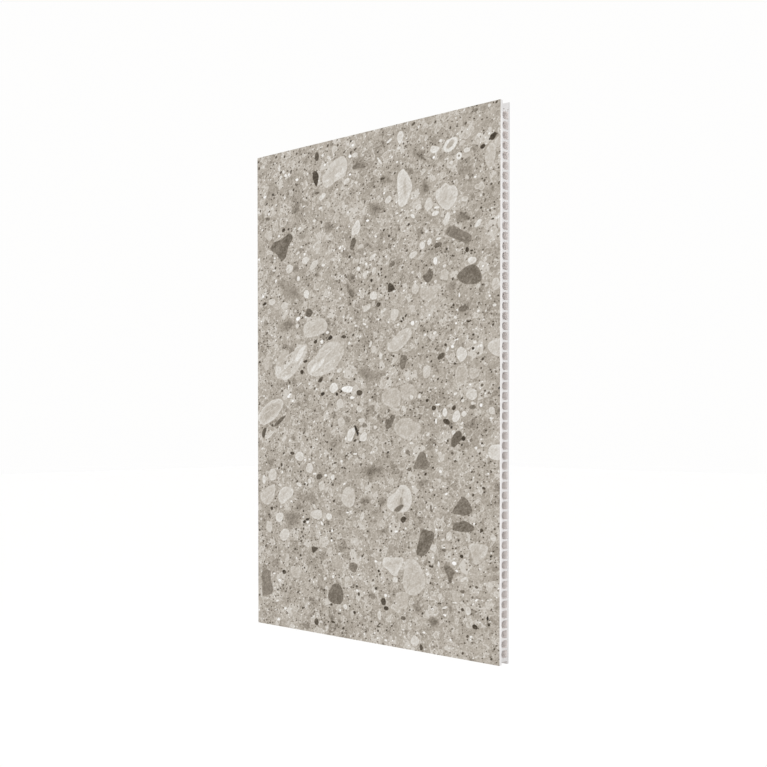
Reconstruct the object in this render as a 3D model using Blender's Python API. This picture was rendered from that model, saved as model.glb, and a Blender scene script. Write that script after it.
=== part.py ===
"""Hollow-core PVC shower wall panel.

One white extrusion runs along X: a thick front wall, a thin back wall and a row
of open cells between them. Its front wall ends in a lip at the top and at the
bottom, so that two panels butt lip to lip, with a sloped rebate behind the upper
lip and a shallow groove behind the lower one. A printed decor film covers the front.

The origin is the centre of the back face, which goes on the wall. +Z is up and
the decor faces -Y. All sizes are in metres.
"""
import math

import bmesh
import bpy
from mathutils import Matrix, Vector
from mathutils.geometry import delaunay_2d_cdt

# Outer size of the panel
PANEL_LENGTH = 0.250
PANEL_HEIGHT = 0.375
PANEL_THICKNESS = 0.010

# Walls of the extrusion, and the film on its front
FILM_THICKNESS = 0.0004
FRONT_WALL = 0.0021
BACK_WALL = 0.0014
WEB_THICKNESS = 0.0013

# Cells: the pitch is the nearest to this one that fills the height with whole cells
CELL_PITCH = 0.00664
CELL_FRONT_RADIUS = 0.0023
CELL_BACK_RADIUS = 0.0008

# Solid rails beyond the first and the last cell
TOP_RAIL = 0.0043
BOTTOM_RAIL = 0.0022

# Edges: the rebate and the groove are measured from the ends of the lips
REBATE_DEPTH = 0.0025
REBATE_FLOOR_WIDTH = 0.0007
GROOVE_DEPTH = 0.0023
BACK_RELIEF = 0.0004
LIP_RADIUS = 0.0004
REBATE_RADIUS = 0.0003
TOP_BACK_RADIUS = 0.0008
BOTTOM_BACK_RADIUS = 0.0004

# Two fine round channels in the top rail, side by side above the first cell
CHANNEL_RADIUS = 0.00045
CHANNEL_SPACING = 0.0038
CHANNEL_WALL = 0.0008

# Faces per quarter turn of each kind of round
WIDE_ROUND_STEPS = 6
TIGHT_ROUND_STEPS = 3
CHANNEL_SIDES = 12

SHARP_EDGE_ANGLE = math.radians(40)

# Settings of the section's fill: keep triangles inside the outlines, merge only equal points
TRIANGLES_INSIDE = 1
SAME_POINT = 1e-9

# Depths, as Y values: the decor faces -Y and the wall face is at zero
FACE_Y = -PANEL_THICKNESS
CORE_FRONT_Y = FACE_Y + FILM_THICKNESS
CELL_FRONT_Y = CORE_FRONT_Y + FRONT_WALL
CELL_BACK_Y = -BACK_WALL
LIP_TOP_Z = PANEL_HEIGHT / 2
LIP_BOTTOM_Z = -PANEL_HEIGHT / 2

# Heights of the row of cells, and the pitch that fits whole cells between them
FIRST_CELL_TOP_Z = LIP_TOP_Z - REBATE_DEPTH - TOP_RAIL
LAST_CELL_BOTTOM_Z = LIP_BOTTOM_Z + GROOVE_DEPTH + BOTTOM_RAIL
ROW_HEIGHT = FIRST_CELL_TOP_Z - LAST_CELL_BOTTOM_Z + WEB_THICKNESS
CELL_COUNT = round(ROW_HEIGHT / CELL_PITCH)
FITTED_PITCH = ROW_HEIGHT / CELL_COUNT
CELL_HEIGHT = FITTED_PITCH - WEB_THICKNESS


def rounded_outline(corners):
    """Points of a closed outline in Y and Z, from anticlockwise corners (y, z, radius, steps)."""
    points = []
    for index, (y, z, radius, steps) in enumerate(corners):
        corner = Vector((y, z))
        if radius == 0:
            points.append(corner)
            continue
        towards_last = (Vector(corners[index - 1][:2]) - corner).normalized()
        towards_next = (Vector(corners[(index + 1) % len(corners)][:2]) - corner).normalized()
        half_angle = towards_last.angle(towards_next) / 2
        centre = corner + (towards_last + towards_next).normalized() * radius / math.sin(half_angle)
        first = corner + towards_last * radius / math.tan(half_angle) - centre
        last = corner + towards_next * radius / math.tan(half_angle) - centre
        sweep = first.angle_signed(last)
        for step in range(steps + 1):
            points.append(centre + Matrix.Rotation(-sweep * step / steps, 2) @ first)
    return points


def section_outline():
    """Outer outline of the extrusion: lips, rebate, back face and groove."""
    slope_start_y = CELL_FRONT_Y + REBATE_FLOOR_WIDTH
    rebate_z = LIP_TOP_Z - REBATE_DEPTH
    back_top_z = LIP_TOP_Z - BACK_RELIEF
    back_bottom_z = LIP_BOTTOM_Z + BACK_RELIEF
    groove_z = LIP_BOTTOM_Z + GROOVE_DEPTH
    groove_radius = min(CELL_FRONT_RADIUS, 0.4 * GROOVE_DEPTH)
    return rounded_outline([
        (CORE_FRONT_Y, LIP_TOP_Z, 0, 0),
        (CORE_FRONT_Y, LIP_BOTTOM_Z, 0, 0),
        (CELL_FRONT_Y, LIP_BOTTOM_Z, LIP_RADIUS, TIGHT_ROUND_STEPS),
        (CELL_FRONT_Y, groove_z, groove_radius, TIGHT_ROUND_STEPS),
        (CELL_BACK_Y, groove_z, groove_radius, TIGHT_ROUND_STEPS),
        (CELL_BACK_Y, back_bottom_z, 0, 0),
        (0, back_bottom_z, BOTTOM_BACK_RADIUS, TIGHT_ROUND_STEPS),
        (0, back_top_z, TOP_BACK_RADIUS, TIGHT_ROUND_STEPS),
        (slope_start_y, rebate_z, 0, 0),
        (CELL_FRONT_Y, rebate_z, REBATE_RADIUS, TIGHT_ROUND_STEPS),
        (CELL_FRONT_Y, LIP_TOP_Z, LIP_RADIUS, TIGHT_ROUND_STEPS),
    ])


def cell_outline(top_z):
    """One cell: wide rounds on the decor side, tight ones on the wall side."""
    bottom_z = top_z - CELL_HEIGHT
    front_radius = min(CELL_FRONT_RADIUS, 0.45 * CELL_HEIGHT)
    back_radius = min(CELL_BACK_RADIUS, 0.45 * CELL_HEIGHT)
    return rounded_outline([
        (CELL_FRONT_Y, top_z, front_radius, WIDE_ROUND_STEPS),
        (CELL_FRONT_Y, bottom_z, front_radius, WIDE_ROUND_STEPS),
        (CELL_BACK_Y, bottom_z, back_radius, TIGHT_ROUND_STEPS),
        (CELL_BACK_Y, top_z, back_radius, TIGHT_ROUND_STEPS),
    ])


def channel_outline(side):
    """One fine channel: side is -1 for the one nearer the decor, +1 for the one nearer the wall."""
    centre_y = CELL_FRONT_Y / 2 + side * CHANNEL_SPACING / 2
    centre_z = FIRST_CELL_TOP_Z + CHANNEL_WALL + CHANNEL_RADIUS
    turn = math.tau / CHANNEL_SIDES
    return [
        Vector((
            centre_y + CHANNEL_RADIUS * math.cos(turn * step),
            centre_z + CHANNEL_RADIUS * math.sin(turn * step),
        ))
        for step in range(CHANNEL_SIDES)
    ]


def plastic(name, colour, roughness):
    """A plain Principled plastic."""
    material = bpy.data.materials.new(name)
    material.use_nodes = True
    shader = material.node_tree.nodes["Principled BSDF"]
    shader.inputs["Base Color"].default_value = (*colour, 1.0)
    shader.inputs["Roughness"].default_value = roughness
    shader.inputs["Metallic"].default_value = 0.0
    material.diffuse_color = (*colour, 1.0)
    return material


def finished_object(name, model, material):
    """Turns a bmesh into a named object with smooth rounds and crisp corners."""
    bmesh.ops.recalc_face_normals(model, faces=model.faces)
    mesh = bpy.data.meshes.new(name)
    model.to_mesh(mesh)
    model.free()
    mesh.materials.append(material)
    mesh.shade_smooth()
    mesh.set_sharp_from_angle(angle=SHARP_EDGE_ANGLE)
    piece = bpy.data.objects.new(name, mesh)
    bpy.context.scene.collection.objects.link(piece)
    return piece


def fill_section(model, outlines, x):
    """Faces across the first outline, left open inside the others, in the plane at x."""
    points = []
    rings = []
    for outline in outlines:
        rings.append(range(len(points), len(points) + len(outline)))
        points.extend(outline)
    filled = delaunay_2d_cdt(points, [], rings, TRIANGLES_INSIDE, SAME_POINT)
    corners, triangles, covered_by = filled[0], filled[2], filled[5]
    verts = [model.verts.new((x, corner.x, corner.y)) for corner in corners]
    for triangle, rings_over_it in zip(triangles, covered_by):
        if rings_over_it == [0]:
            model.faces.new([verts[index] for index in triangle])


def make_core():
    """The extrusion: its section is filled at one cut end and pulled along X."""
    outlines = [section_outline(), channel_outline(-1), channel_outline(1)]
    for index in range(CELL_COUNT):
        outlines.append(cell_outline(FIRST_CELL_TOP_Z - index * FITTED_PITCH))
    model = bmesh.new()
    fill_section(model, outlines, -PANEL_LENGTH / 2)
    pulled = bmesh.ops.extrude_face_region(model, geom=model.faces[:])
    moved = [item for item in pulled["geom"] if isinstance(item, bmesh.types.BMVert)]
    bmesh.ops.translate(model, verts=moved, vec=(PANEL_LENGTH, 0, 0))
    white_pvc = plastic("white_pvc", (0.80, 0.79, 0.78), 0.38)
    return finished_object("hollow_core_panel", model, white_pvc)


def make_film():
    """The decor film: a thin sheet that covers the front wall from lip end to lip end."""
    middle_y = FACE_Y + FILM_THICKNESS / 2
    size = Matrix.Diagonal((PANEL_LENGTH, FILM_THICKNESS, PANEL_HEIGHT, 1))
    model = bmesh.new()
    bmesh.ops.create_cube(model, size=1, matrix=Matrix.Translation((0, middle_y, 0)) @ size)
    stone_print = plastic("stone_print", (0.42, 0.38, 0.33), 0.45)
    return finished_object("decor_film", model, stone_print)


for leftover in list(bpy.data.objects):
    bpy.data.objects.remove(leftover, do_unlink=True)

make_core()
make_film()
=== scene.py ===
# %% [markdown]
# # A hollow-core PVC shower wall panel
# The object is a short length of bathroom cladding: one white PVC extrusion with a row of open cells, and a matt film
# with a printed stone pattern on its front. The measured frame is a CAD part. This script builds the finer visible
# pieces around it, gives them their finishes, and sets up a plain studio.

# %% Load the frame
import math

import bmesh
import bpy
import numpy as np
from mathutils import Matrix, Vector, noise
from mathutils.geometry import delaunay_2d_cdt


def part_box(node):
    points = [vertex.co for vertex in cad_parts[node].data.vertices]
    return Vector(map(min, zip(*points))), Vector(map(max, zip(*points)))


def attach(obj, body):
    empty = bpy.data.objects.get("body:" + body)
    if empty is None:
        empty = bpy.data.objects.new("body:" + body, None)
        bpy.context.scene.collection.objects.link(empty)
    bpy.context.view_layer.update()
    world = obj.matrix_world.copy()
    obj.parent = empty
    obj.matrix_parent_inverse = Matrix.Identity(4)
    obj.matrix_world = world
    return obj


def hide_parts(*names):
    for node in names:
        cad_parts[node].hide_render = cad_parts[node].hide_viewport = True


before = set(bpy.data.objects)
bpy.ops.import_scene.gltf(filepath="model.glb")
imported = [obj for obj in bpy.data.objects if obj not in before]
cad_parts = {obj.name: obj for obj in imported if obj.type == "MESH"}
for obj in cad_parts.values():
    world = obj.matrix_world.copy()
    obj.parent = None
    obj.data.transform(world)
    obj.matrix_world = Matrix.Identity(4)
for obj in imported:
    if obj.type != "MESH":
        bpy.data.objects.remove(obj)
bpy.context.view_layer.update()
core_low, core_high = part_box("hollow_core_panel")
film_low, film_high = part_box("decor_film")
print("core from", tuple(core_low), "to", tuple(core_high))
print("film from", tuple(film_low), "to", tuple(film_high))

# %% [markdown]
# ## The extrusion's section
# PVC is pushed through a die that gives the panel its whole section at once, so every wall is straight along the
# length. The front wall is the thickest. The outer sizes come from the frame, and the walls, the rails and the edges
# are measured from there.

# %% Sizes of the section
MM = 0.001
HALF_LENGTH = core_high.x
TOP_Z, BOTTOM_Z = core_high.z, core_low.z
CORE_FRONT_Y, BACK_Y = core_low.y, core_high.y
FACE_Y = film_low.y

FRONT_WALL = 2.1 * MM
BACK_WALL = 1.4 * MM
WEB = 1.3 * MM
REBATE_DEPTH = 2.2 * MM
GROOVE_DEPTH = 2.3 * MM
CELLS_BELOW_TOP = 6.8 * MM
BOTTOM_RAIL = 2.2 * MM
CELL_COUNT = 55

CELL_FRONT_Y = CORE_FRONT_Y + FRONT_WALL
CELL_BACK_Y = BACK_Y - BACK_WALL
REBATE_Z = TOP_Z - REBATE_DEPTH
GROOVE_Z = BOTTOM_Z + GROOVE_DEPTH
FIRST_CELL_TOP_Z = TOP_Z - CELLS_BELOW_TOP
LAST_CELL_BOTTOM_Z = GROOVE_Z + BOTTOM_RAIL
PITCH = (FIRST_CELL_TOP_Z - LAST_CELL_BOTTOM_Z + WEB) / CELL_COUNT
CELL_HEIGHT = PITCH - WEB
print(f"{CELL_COUNT} cells at a pitch of {PITCH / MM:.2f} mm")

# %% [markdown]
# Each outline is a list of corners, and each corner has a radius and a number of faces for its round. The rounds are
# put in by one helper, so a radius can be changed in one place.

# %% A helper that rounds the corners of an outline


def rounded_outline(corners):
    """Points of a closed outline in Y and Z, from anticlockwise corners (y, z, radius, steps)."""
    points = []
    for index, (y, z, radius, steps) in enumerate(corners):
        corner = Vector((y, z))
        if radius == 0:
            points.append(corner)
            continue
        to_last = (Vector(corners[index - 1][:2]) - corner).normalized()
        to_next = (Vector(corners[(index + 1) % len(corners)][:2]) - corner).normalized()
        half_angle = to_last.angle(to_next) / 2
        centre = corner + (to_last + to_next).normalized() * radius / math.sin(half_angle)
        first = corner + to_last * radius / math.tan(half_angle) - centre
        last = corner + to_next * radius / math.tan(half_angle) - centre
        sweep = first.angle_signed(last)
        for step in range(steps + 1):
            points.append(centre + Matrix.Rotation(-sweep * step / steps, 2) @ first)
    return points


sample = rounded_outline([(0, 0, 1, 4), (6, 0, 1, 4), (3, 5, 1, 4)])
print("three corners with four faces each give", len(sample), "points")

# %% [markdown]
# The outer outline has a lip at each long edge, a sloped rebate behind the upper lip and a shallow groove behind the
# lower one. Panels butt lip to lip there, with sealant in the space behind. The cells are rounder on the decor side,
# where the die feeds the thick wall, and tighter on the wall side.

# %% Outlines of the body, the cells and the channels
REBATE_FLOOR = 0.7 * MM
BACK_RELIEF = 0.1 * MM
LIP_ROUND = 0.4 * MM
GROOVE_ROUND = 0.9 * MM
REBATE_ROUND = 0.3 * MM
BACK_INNER_ROUND = 0.1 * MM
BACK_LOW_ROUND = 0.4 * MM
BACK_TOP_ROUND = 0.5 * MM
CELL_FRONT_ROUND = 2.3 * MM
CELL_BACK_ROUND = 0.8 * MM
CHANNEL_RADIUS = 0.58 * MM
CHANNEL_SIDES = 24
CHANNEL_REACH = 2.1 * MM
CHANNEL_SHIFT = 0.3 * MM
CHANNEL_RISE = 1.25 * MM

section = rounded_outline([
    (CORE_FRONT_Y, TOP_Z, 0, 0),
    (CORE_FRONT_Y, BOTTOM_Z, 0, 0),
    (CELL_FRONT_Y, BOTTOM_Z, LIP_ROUND, 6),
    (CELL_FRONT_Y, GROOVE_Z, GROOVE_ROUND, 8),
    (CELL_BACK_Y, GROOVE_Z, GROOVE_ROUND, 8),
    (CELL_BACK_Y, BOTTOM_Z + BACK_RELIEF, BACK_INNER_ROUND, 2),
    (BACK_Y, BOTTOM_Z + BACK_RELIEF, BACK_LOW_ROUND, 6),
    (BACK_Y, TOP_Z, BACK_TOP_ROUND, 8),
    (CELL_FRONT_Y + REBATE_FLOOR, REBATE_Z, REBATE_ROUND, 4),
    (CELL_FRONT_Y, REBATE_Z, REBATE_ROUND, 6),
    (CELL_FRONT_Y, TOP_Z, LIP_ROUND, 6),
])


def cell_outline(top_z, bottom_z):
    """One cell: wide rounds on the decor side, tight ones on the wall side."""
    return rounded_outline([
        (CELL_FRONT_Y, top_z, CELL_FRONT_ROUND, 12),
        (CELL_FRONT_Y, bottom_z, CELL_FRONT_ROUND, 12),
        (CELL_BACK_Y, bottom_z, CELL_BACK_ROUND, 6),
        (CELL_BACK_Y, top_z, CELL_BACK_ROUND, 6),
    ])


def channel_outline(side):
    """One fine round channel in the top rail: side is -1 nearer the decor, +1 nearer the wall."""
    centre_y = CELL_FRONT_Y / 2 + side * CHANNEL_REACH - CHANNEL_SHIFT
    centre_z = FIRST_CELL_TOP_Z + CHANNEL_RISE
    return [
        Vector((centre_y + CHANNEL_RADIUS * math.cos(turn), centre_z + CHANNEL_RADIUS * math.sin(turn)))
        for turn in (math.tau * step / CHANNEL_SIDES for step in range(CHANNEL_SIDES))
    ]


outlines = [section, channel_outline(-1), channel_outline(1)]
for index in range(CELL_COUNT):
    cell_top = FIRST_CELL_TOP_Z - index * PITCH
    outlines.append(cell_outline(cell_top, cell_top - CELL_HEIGHT))
print(len(outlines), "outlines with", sum(map(len, outlines)), "points")

# %% [markdown]
# The section is filled at the far cut end, and the whole face is then pulled along the panel, as the die does it. A
# constrained triangulation fills the section, because it keeps all 57 openings free in one step.

# %% Fill the section and pull it along the panel
TRIANGLES_INSIDE = 1
SAME_POINT = 1e-9
SHARP_EDGE_ANGLE = math.radians(35)


def link_mesh(name, model):
    """Turns a bmesh into a named object at the origin."""
    mesh = bpy.data.meshes.new(name)
    model.to_mesh(mesh)
    model.free()
    piece = bpy.data.objects.new(name, mesh)
    bpy.context.scene.collection.objects.link(piece)
    return piece


model = bmesh.new()
points, rings = [], []
for outline in outlines:
    rings.append(range(len(points), len(points) + len(outline)))
    points.extend(outline)
filled = delaunay_2d_cdt(points, [], rings, TRIANGLES_INSIDE, SAME_POINT)
section_verts = [model.verts.new((-HALF_LENGTH, place.x, place.y)) for place in filled[0]]
for triangle, covered_by in zip(filled[2], filled[5]):
    if covered_by == [0]:
        model.faces.new([section_verts[corner] for corner in triangle])
pulled = bmesh.ops.extrude_face_region(model, geom=model.faces[:])
moved = [item for item in pulled["geom"] if isinstance(item, bmesh.types.BMVert)]
bmesh.ops.translate(model, verts=moved, vec=(2 * HALF_LENGTH, 0, 0))
bmesh.ops.recalc_face_normals(model, faces=model.faces)
extrusion = link_mesh("extrusion_body", model)
extrusion.data.shade_smooth()
extrusion.data.set_sharp_from_angle(angle=SHARP_EDGE_ANGLE)
print("extrusion:", len(extrusion.data.polygons), "faces")

# %% [markdown]
# ## The printed stones
# The film is printed by rotogravure with a stone pattern: pale and dark stones with clear outlines lie in a sandy
# ground. On the model the outlines are cut into the sheet's mesh, so that each stone has a crisp edge at any distance.
# The places are listed in millimetres from the centre of the face, and a grey of 0 is black and 255 is white.

# %% Stones with a drawn outline: grey, then corners (x, z)
PALE_STONES = [
    (203, [(-37, 171), (-30, 173.5), (-25, 173.5), (-21, 169), (-21, 164), (-23, 159), (-27, 157.5), (-34, 155.5),
        (-40.5, 153), (-45, 153), (-47.5, 156), (-48, 160.5), (-45, 164), (-40.5, 167.5)]),
    (222, [(31, 178), (32, 181), (34, 182), (36.5, 181), (37, 178), (35.5, 175), (33.3, 173), (31.5, 175.5)]),
    (215, [(36.4, 155), (39, 153), (42, 150), (45, 144), (45.4, 140), (43, 135), (40.4, 130), (38.3, 129), (35, 128),
        (32, 130.5), (31.4, 137.5), (31, 145), (31.4, 151.3)]),
    (217, [(-15.8, 114), (-15, 119), (-9.5, 124.4), (-7.5, 122), (-6.6, 118), (-9, 114.6), (-12, 113.8)]),
    (208, [(68.6, 135), (72.5, 136.8), (76.5, 139.6), (80.5, 137.2), (85, 136.6), (87.6, 133.5), (88, 129.5),
        (86, 125.5), (82, 122), (78, 120.8), (73.5, 123), (70, 126.5), (68, 131)]),
    (197, [(112, 150), (113, 156), (116, 160), (119, 160.5), (121, 156), (121, 151), (119, 146), (117, 142.5),
        (115, 144)]),
    (216, [(74.7, 112.5), (76.6, 116.3), (79, 119), (81.6, 117.5), (79.7, 112.5), (76.6, 110)]),
    (200, [(-70, 46), (-69, 50), (-64, 52.5), (-55, 54), (-47.5, 54), (-43, 50.5), (-42.5, 47), (-46, 43),
        (-54, 41.3), (-62.5, 40), (-68, 41.3)]),
    (203, [(-103.5, 19), (-101, 23), (-96, 22.5), (-91, 20.5), (-87, 23.5), (-82, 30), (-75, 35.3), (-66, 35),
        (-65, 31), (-68, 25), (-72, 20), (-77, 15), (-84, 10), (-92, 8), (-100, 9.5), (-104, 13)]),
    (201, [(-65.6, 15), (-65, 19), (-61, 22.5), (-55, 26), (-50, 31), (-43, 35), (-36, 36), (-28, 34), (-24, 30),
        (-26, 24), (-30, 19), (-38, 13), (-46, 11), (-55, 10), (-62.5, 11.3)]),
    (200, [(21.4, 27.5), (22, 31), (27, 35), (33, 39.4), (41, 42), (45, 40.5), (44.7, 36), (41.6, 32.5), (38, 29.5),
        (33, 26.5), (28, 25.3), (24, 25.6)]),
    (215, [(87, 21.3), (88.5, 25), (91.6, 26), (95.4, 24), (96.6, 20.6), (94, 17), (90.4, 16.3), (88, 19)]),
    (205, [(114.7, 26.3), (119, 29.4), (126, 30), (126, 19), (120.4, 19.4), (116, 22.5)]),
    (207, [(-126, -21), (-122.5, -17.5), (-117.5, -13), (-111, -9), (-104, -7), (-97.5, -6.5), (-94, -9),
        (-94.4, -12.5), (-98, -17), (-102.5, -21.3), (-110, -25), (-117.5, -27.5), (-122.5, -25.6)]),
    (190, [(-121, -20.5), (-119, -17), (-112, -11.8), (-104, -9.5), (-98.5, -9), (-96.5, -10.5), (-99.5, -15.5),
        (-105, -20), (-112, -23), (-118, -24.6)]),
    (220, [(-20, -32), (-17.4, -30), (-13, -29), (-12, -31.3), (-13.6, -35), (-16, -39), (-19.3, -39.4),
        (-20.8, -36.3)]),
    (215, [(-7.4, -37.5), (-6, -34.4), (-3, -32.5), (-0.3, -33), (0, -36.3), (-2, -39), (-7, -39)]),
    (213, [(-80, -52), (-78, -49.4), (-74.4, -48), (-70, -50), (-70.6, -54), (-74, -55.3), (-77.5, -54.4)]),
    (200, [(-122.5, -84), (-120, -80.6), (-114, -77.5), (-107.5, -75), (-104, -75), (-104, -80), (-106, -86),
        (-111, -91), (-117.5, -90.6), (-121, -88)]),
    (210, [(-100, -85), (-99, -81), (-94.4, -77), (-89, -76), (-82, -78), (-83, -82.5), (-87.5, -86), (-94, -89.4),
        (-98, -89.4)]),
    (200, [(-27, -84), (-26, -79), (-23.6, -75), (-19.3, -73.5), (-14.3, -75), (-12.4, -79), (-13, -84), (-15, -87.5),
        (-19.3, -89), (-23.6, -87.3)]),
    (208, [(20.8, -85), (21.4, -81), (25, -77.5), (30, -75), (34, -70.6), (38.3, -70), (43, -72.5), (44.7, -76),
        (45.4, -81), (43.5, -86), (39, -89.5), (32, -90), (26, -89.4), (22, -87.5)]),
    (220, [(83.5, -22.5), (84.7, -19), (88, -17.3), (90.4, -19), (90, -22.5), (86.6, -25.3), (84, -24.4)]),
    (215, [(115.4, -45.6), (116, -42.5), (119, -40.6), (126, -40.6), (126, -49.4), (119, -50), (116.6, -48.5)]),
    (211, [(-98, -115.6), (-97, -112), (-92.5, -109.4), (-88, -110), (-86.3, -113), (-89, -117), (-93, -119),
        (-97, -118)]),
    (215, [(-103, -100), (-100.6, -97.5), (-95.6, -97), (-94, -99), (-95, -102.5), (-99.4, -104.4), (-102.5, -103)]),
    (208, [(-62, -96.3), (-59.4, -93.5), (-54, -92.5), (-49.4, -93), (-49, -97.5), (-52.5, -100), (-57, -99.4),
        (-60.6, -98)]),
    (208, [(16, -127.5), (18.3, -123.5), (24.5, -123), (31, -122.5), (37, -122.5), (36, -127.5), (32.6, -132),
        (31, -135.6), (26, -135.6), (22, -132.5), (17, -130)]),
    (195, [(43, -122.5), (49, -123), (54, -127.5), (58, -134), (58, -139.4), (54, -145), (49, -148), (43, -148),
        (39, -146), (36.5, -139), (38, -131), (39, -125)]),
    (197, [(98, -108), (106, -107.5), (114, -108), (115, -112), (112, -117), (107, -121), (103, -121), (101, -115)]),
    (194, [(-85.6, -140.6), (-82.5, -138), (-75, -139), (-73.5, -142.5), (-75, -146.3), (-81.3, -147),
        (-84.4, -144.4)]),
]
DARK_STONES = [
    (108, [(-86, 123), (-82.5, 120), (-83, 117), (-87.5, 112.5), (-90, 105), (-95, 102), (-98, 104.4), (-101, 107.5),
        (-109, 112.5), (-107, 116), (-104, 118), (-96, 119), (-91, 121)]),
    (68, [(-57.5, 167), (-54.5, 166.5), (-52, 163), (-53, 158), (-54, 155.3), (-55.5, 155.5), (-58, 160), (-59, 164)]),
    (105, [(-16, 110.6), (-13, 111.5), (-11, 109), (-13, 105), (-15.3, 102.5), (-18, 104), (-17.4, 106.3)]),
    (124, [(77.2, 104.4), (77.6, 107.5), (81, 109), (86.6, 108.5), (91.6, 105.6), (99, 102), (101, 100), (99, 96.3),
        (95.4, 95.6), (91.6, 97.5), (85.4, 100), (79.7, 102.5)]),
    (112, [(55.6, 77), (59.7, 79.4), (62.2, 82.3), (64, 80.6), (65.7, 79), (65, 75.6), (63, 73), (59.7, 72.5),
        (57.2, 74.4)]),
    (115, [(87.5, 75), (92, 78.5), (98.5, 81), (103.5, 80.6), (107, 78), (109.5, 73), (108.5, 69.5), (105, 68),
        (100, 67.8), (95, 68.5), (91, 70.3), (88.3, 72.5)]),
    (75, [(22, 74), (24, 75), (27, 73), (28.5, 70.6), (26, 69), (22, 68.5), (21.6, 70.6)]),
    (95, [(-67.5, 59), (-66.3, 61), (-64, 62.5), (-60.6, 61.3), (-59, 59), (-61.3, 56.5), (-64, 56), (-67, 57.3)]),
    (115, [(89, 52.3), (91.6, 54), (95.4, 54), (97, 52), (94.7, 50), (89.7, 50.3)]),
    (116, [(35, 22.5), (38.3, 22.5), (41, 20.6), (38.3, 14), (36.4, 12), (34, 14.4), (34, 19)]),
    (95, [(69.7, 20), (72.2, 22), (75.4, 23), (76.6, 21.3), (74.7, 19), (71, 18)]),
    (88, [(-53, 6.3), (-50, 9.4), (-47.3, 9), (-49.4, 5.6), (-52, 5.3)]),
    (115, [(25, -20), (29, -20.3), (27.6, -24.4), (25, -28), (23.3, -30), (19.5, -30), (19, -25.6), (20, -23),
        (23.3, -22.5)]),
    (90, [(-119.4, -32.5), (-117, -29.4), (-114.4, -30.3), (-115.6, -34), (-117.3, -37.5), (-119.4, -37.3),
        (-120, -34.4)]),
    (103, [(89, -31), (91.8, -32.5), (92, -36.5), (89, -39.4), (85.4, -42.5), (82.5, -41), (83, -36.8), (85.5, -33)]),
    (125, [(47, -57), (49, -53), (51, -49.4), (54, -46), (58.5, -47), (59.7, -51.3), (62.6, -55), (60.4, -57.5),
        (56.6, -59), (53, -58), (48.5, -58.5)]),
    (115, [(93.5, -76.3), (97.2, -78), (100.4, -82.5), (101.4, -85.6), (99, -87.5), (94, -89), (89, -88.5), (84, -88),
        (84.7, -85), (89, -80), (91, -77.5)]),
    (110, [(83.7, -97.5), (84.7, -95), (89, -93.5), (94.7, -92.5), (100.4, -94.4), (103.5, -96.5), (102.2, -99),
        (98, -100), (91.6, -100.3), (86.6, -100), (84, -99)]),
    (110, [(56.6, -100.6), (61.6, -101.3), (66, -102), (67, -105), (64.7, -110), (62.2, -114.4), (59, -118),
        (55, -119.8), (50.3, -118.5), (50.3, -114), (52.3, -109), (53.5, -104.4)]),
    (116, [(76, -125), (78, -124), (82.2, -125), (85.4, -127.5), (85, -130.6), (83, -135.6), (81.6, -136.5),
        (80, -135), (79, -131.3), (76.6, -128)]),
    (85, [(-60.3, -121.3), (-54, -121.5), (-53.5, -122.5), (-56.3, -125), (-59.4, -126)]),
    (130, [(-120, -144.4), (-111, -144), (-109.4, -145), (-109.4, -150), (-107, -156.3), (-106.3, -160), (-109, -163),
        (-117.5, -165.3), (-120, -164.4)]),
    (110, [(-42, -159), (-41.5, -155.6), (-38.6, -150.6), (-35.5, -148), (-31, -147.5), (-27.4, -149.4),
        (-25.5, -154), (-25.5, -159), (-28, -162), (-33, -163), (-38.6, -162), (-41, -160.6)]),
    (130, [(-15, 162.8), (-13.8, 165), (-10, 166), (-5, 165), (-1.8, 162.2), (-2.6, 161.2), (-8, 162.2),
        (-13.2, 161.6)]),
    (120, [(-18.6, -134), (-18, -130.6), (-14.3, -130), (-10.3, -131), (-10.5, -134.4), (-13.6, -137), (-17, -136)]),
]
print(len(PALE_STONES), "pale and", len(DARK_STONES), "dark stones with drawn outlines")

# %% [markdown]
# Most stones are small and rounded. Each of those is an ellipse here, and its outline gets a little lumpy later on,
# since a broken stone is never an exact oval. The veins and rings on the pale stones and the marks on the dark ones
# are ellipses too, many of them very narrow.

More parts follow.
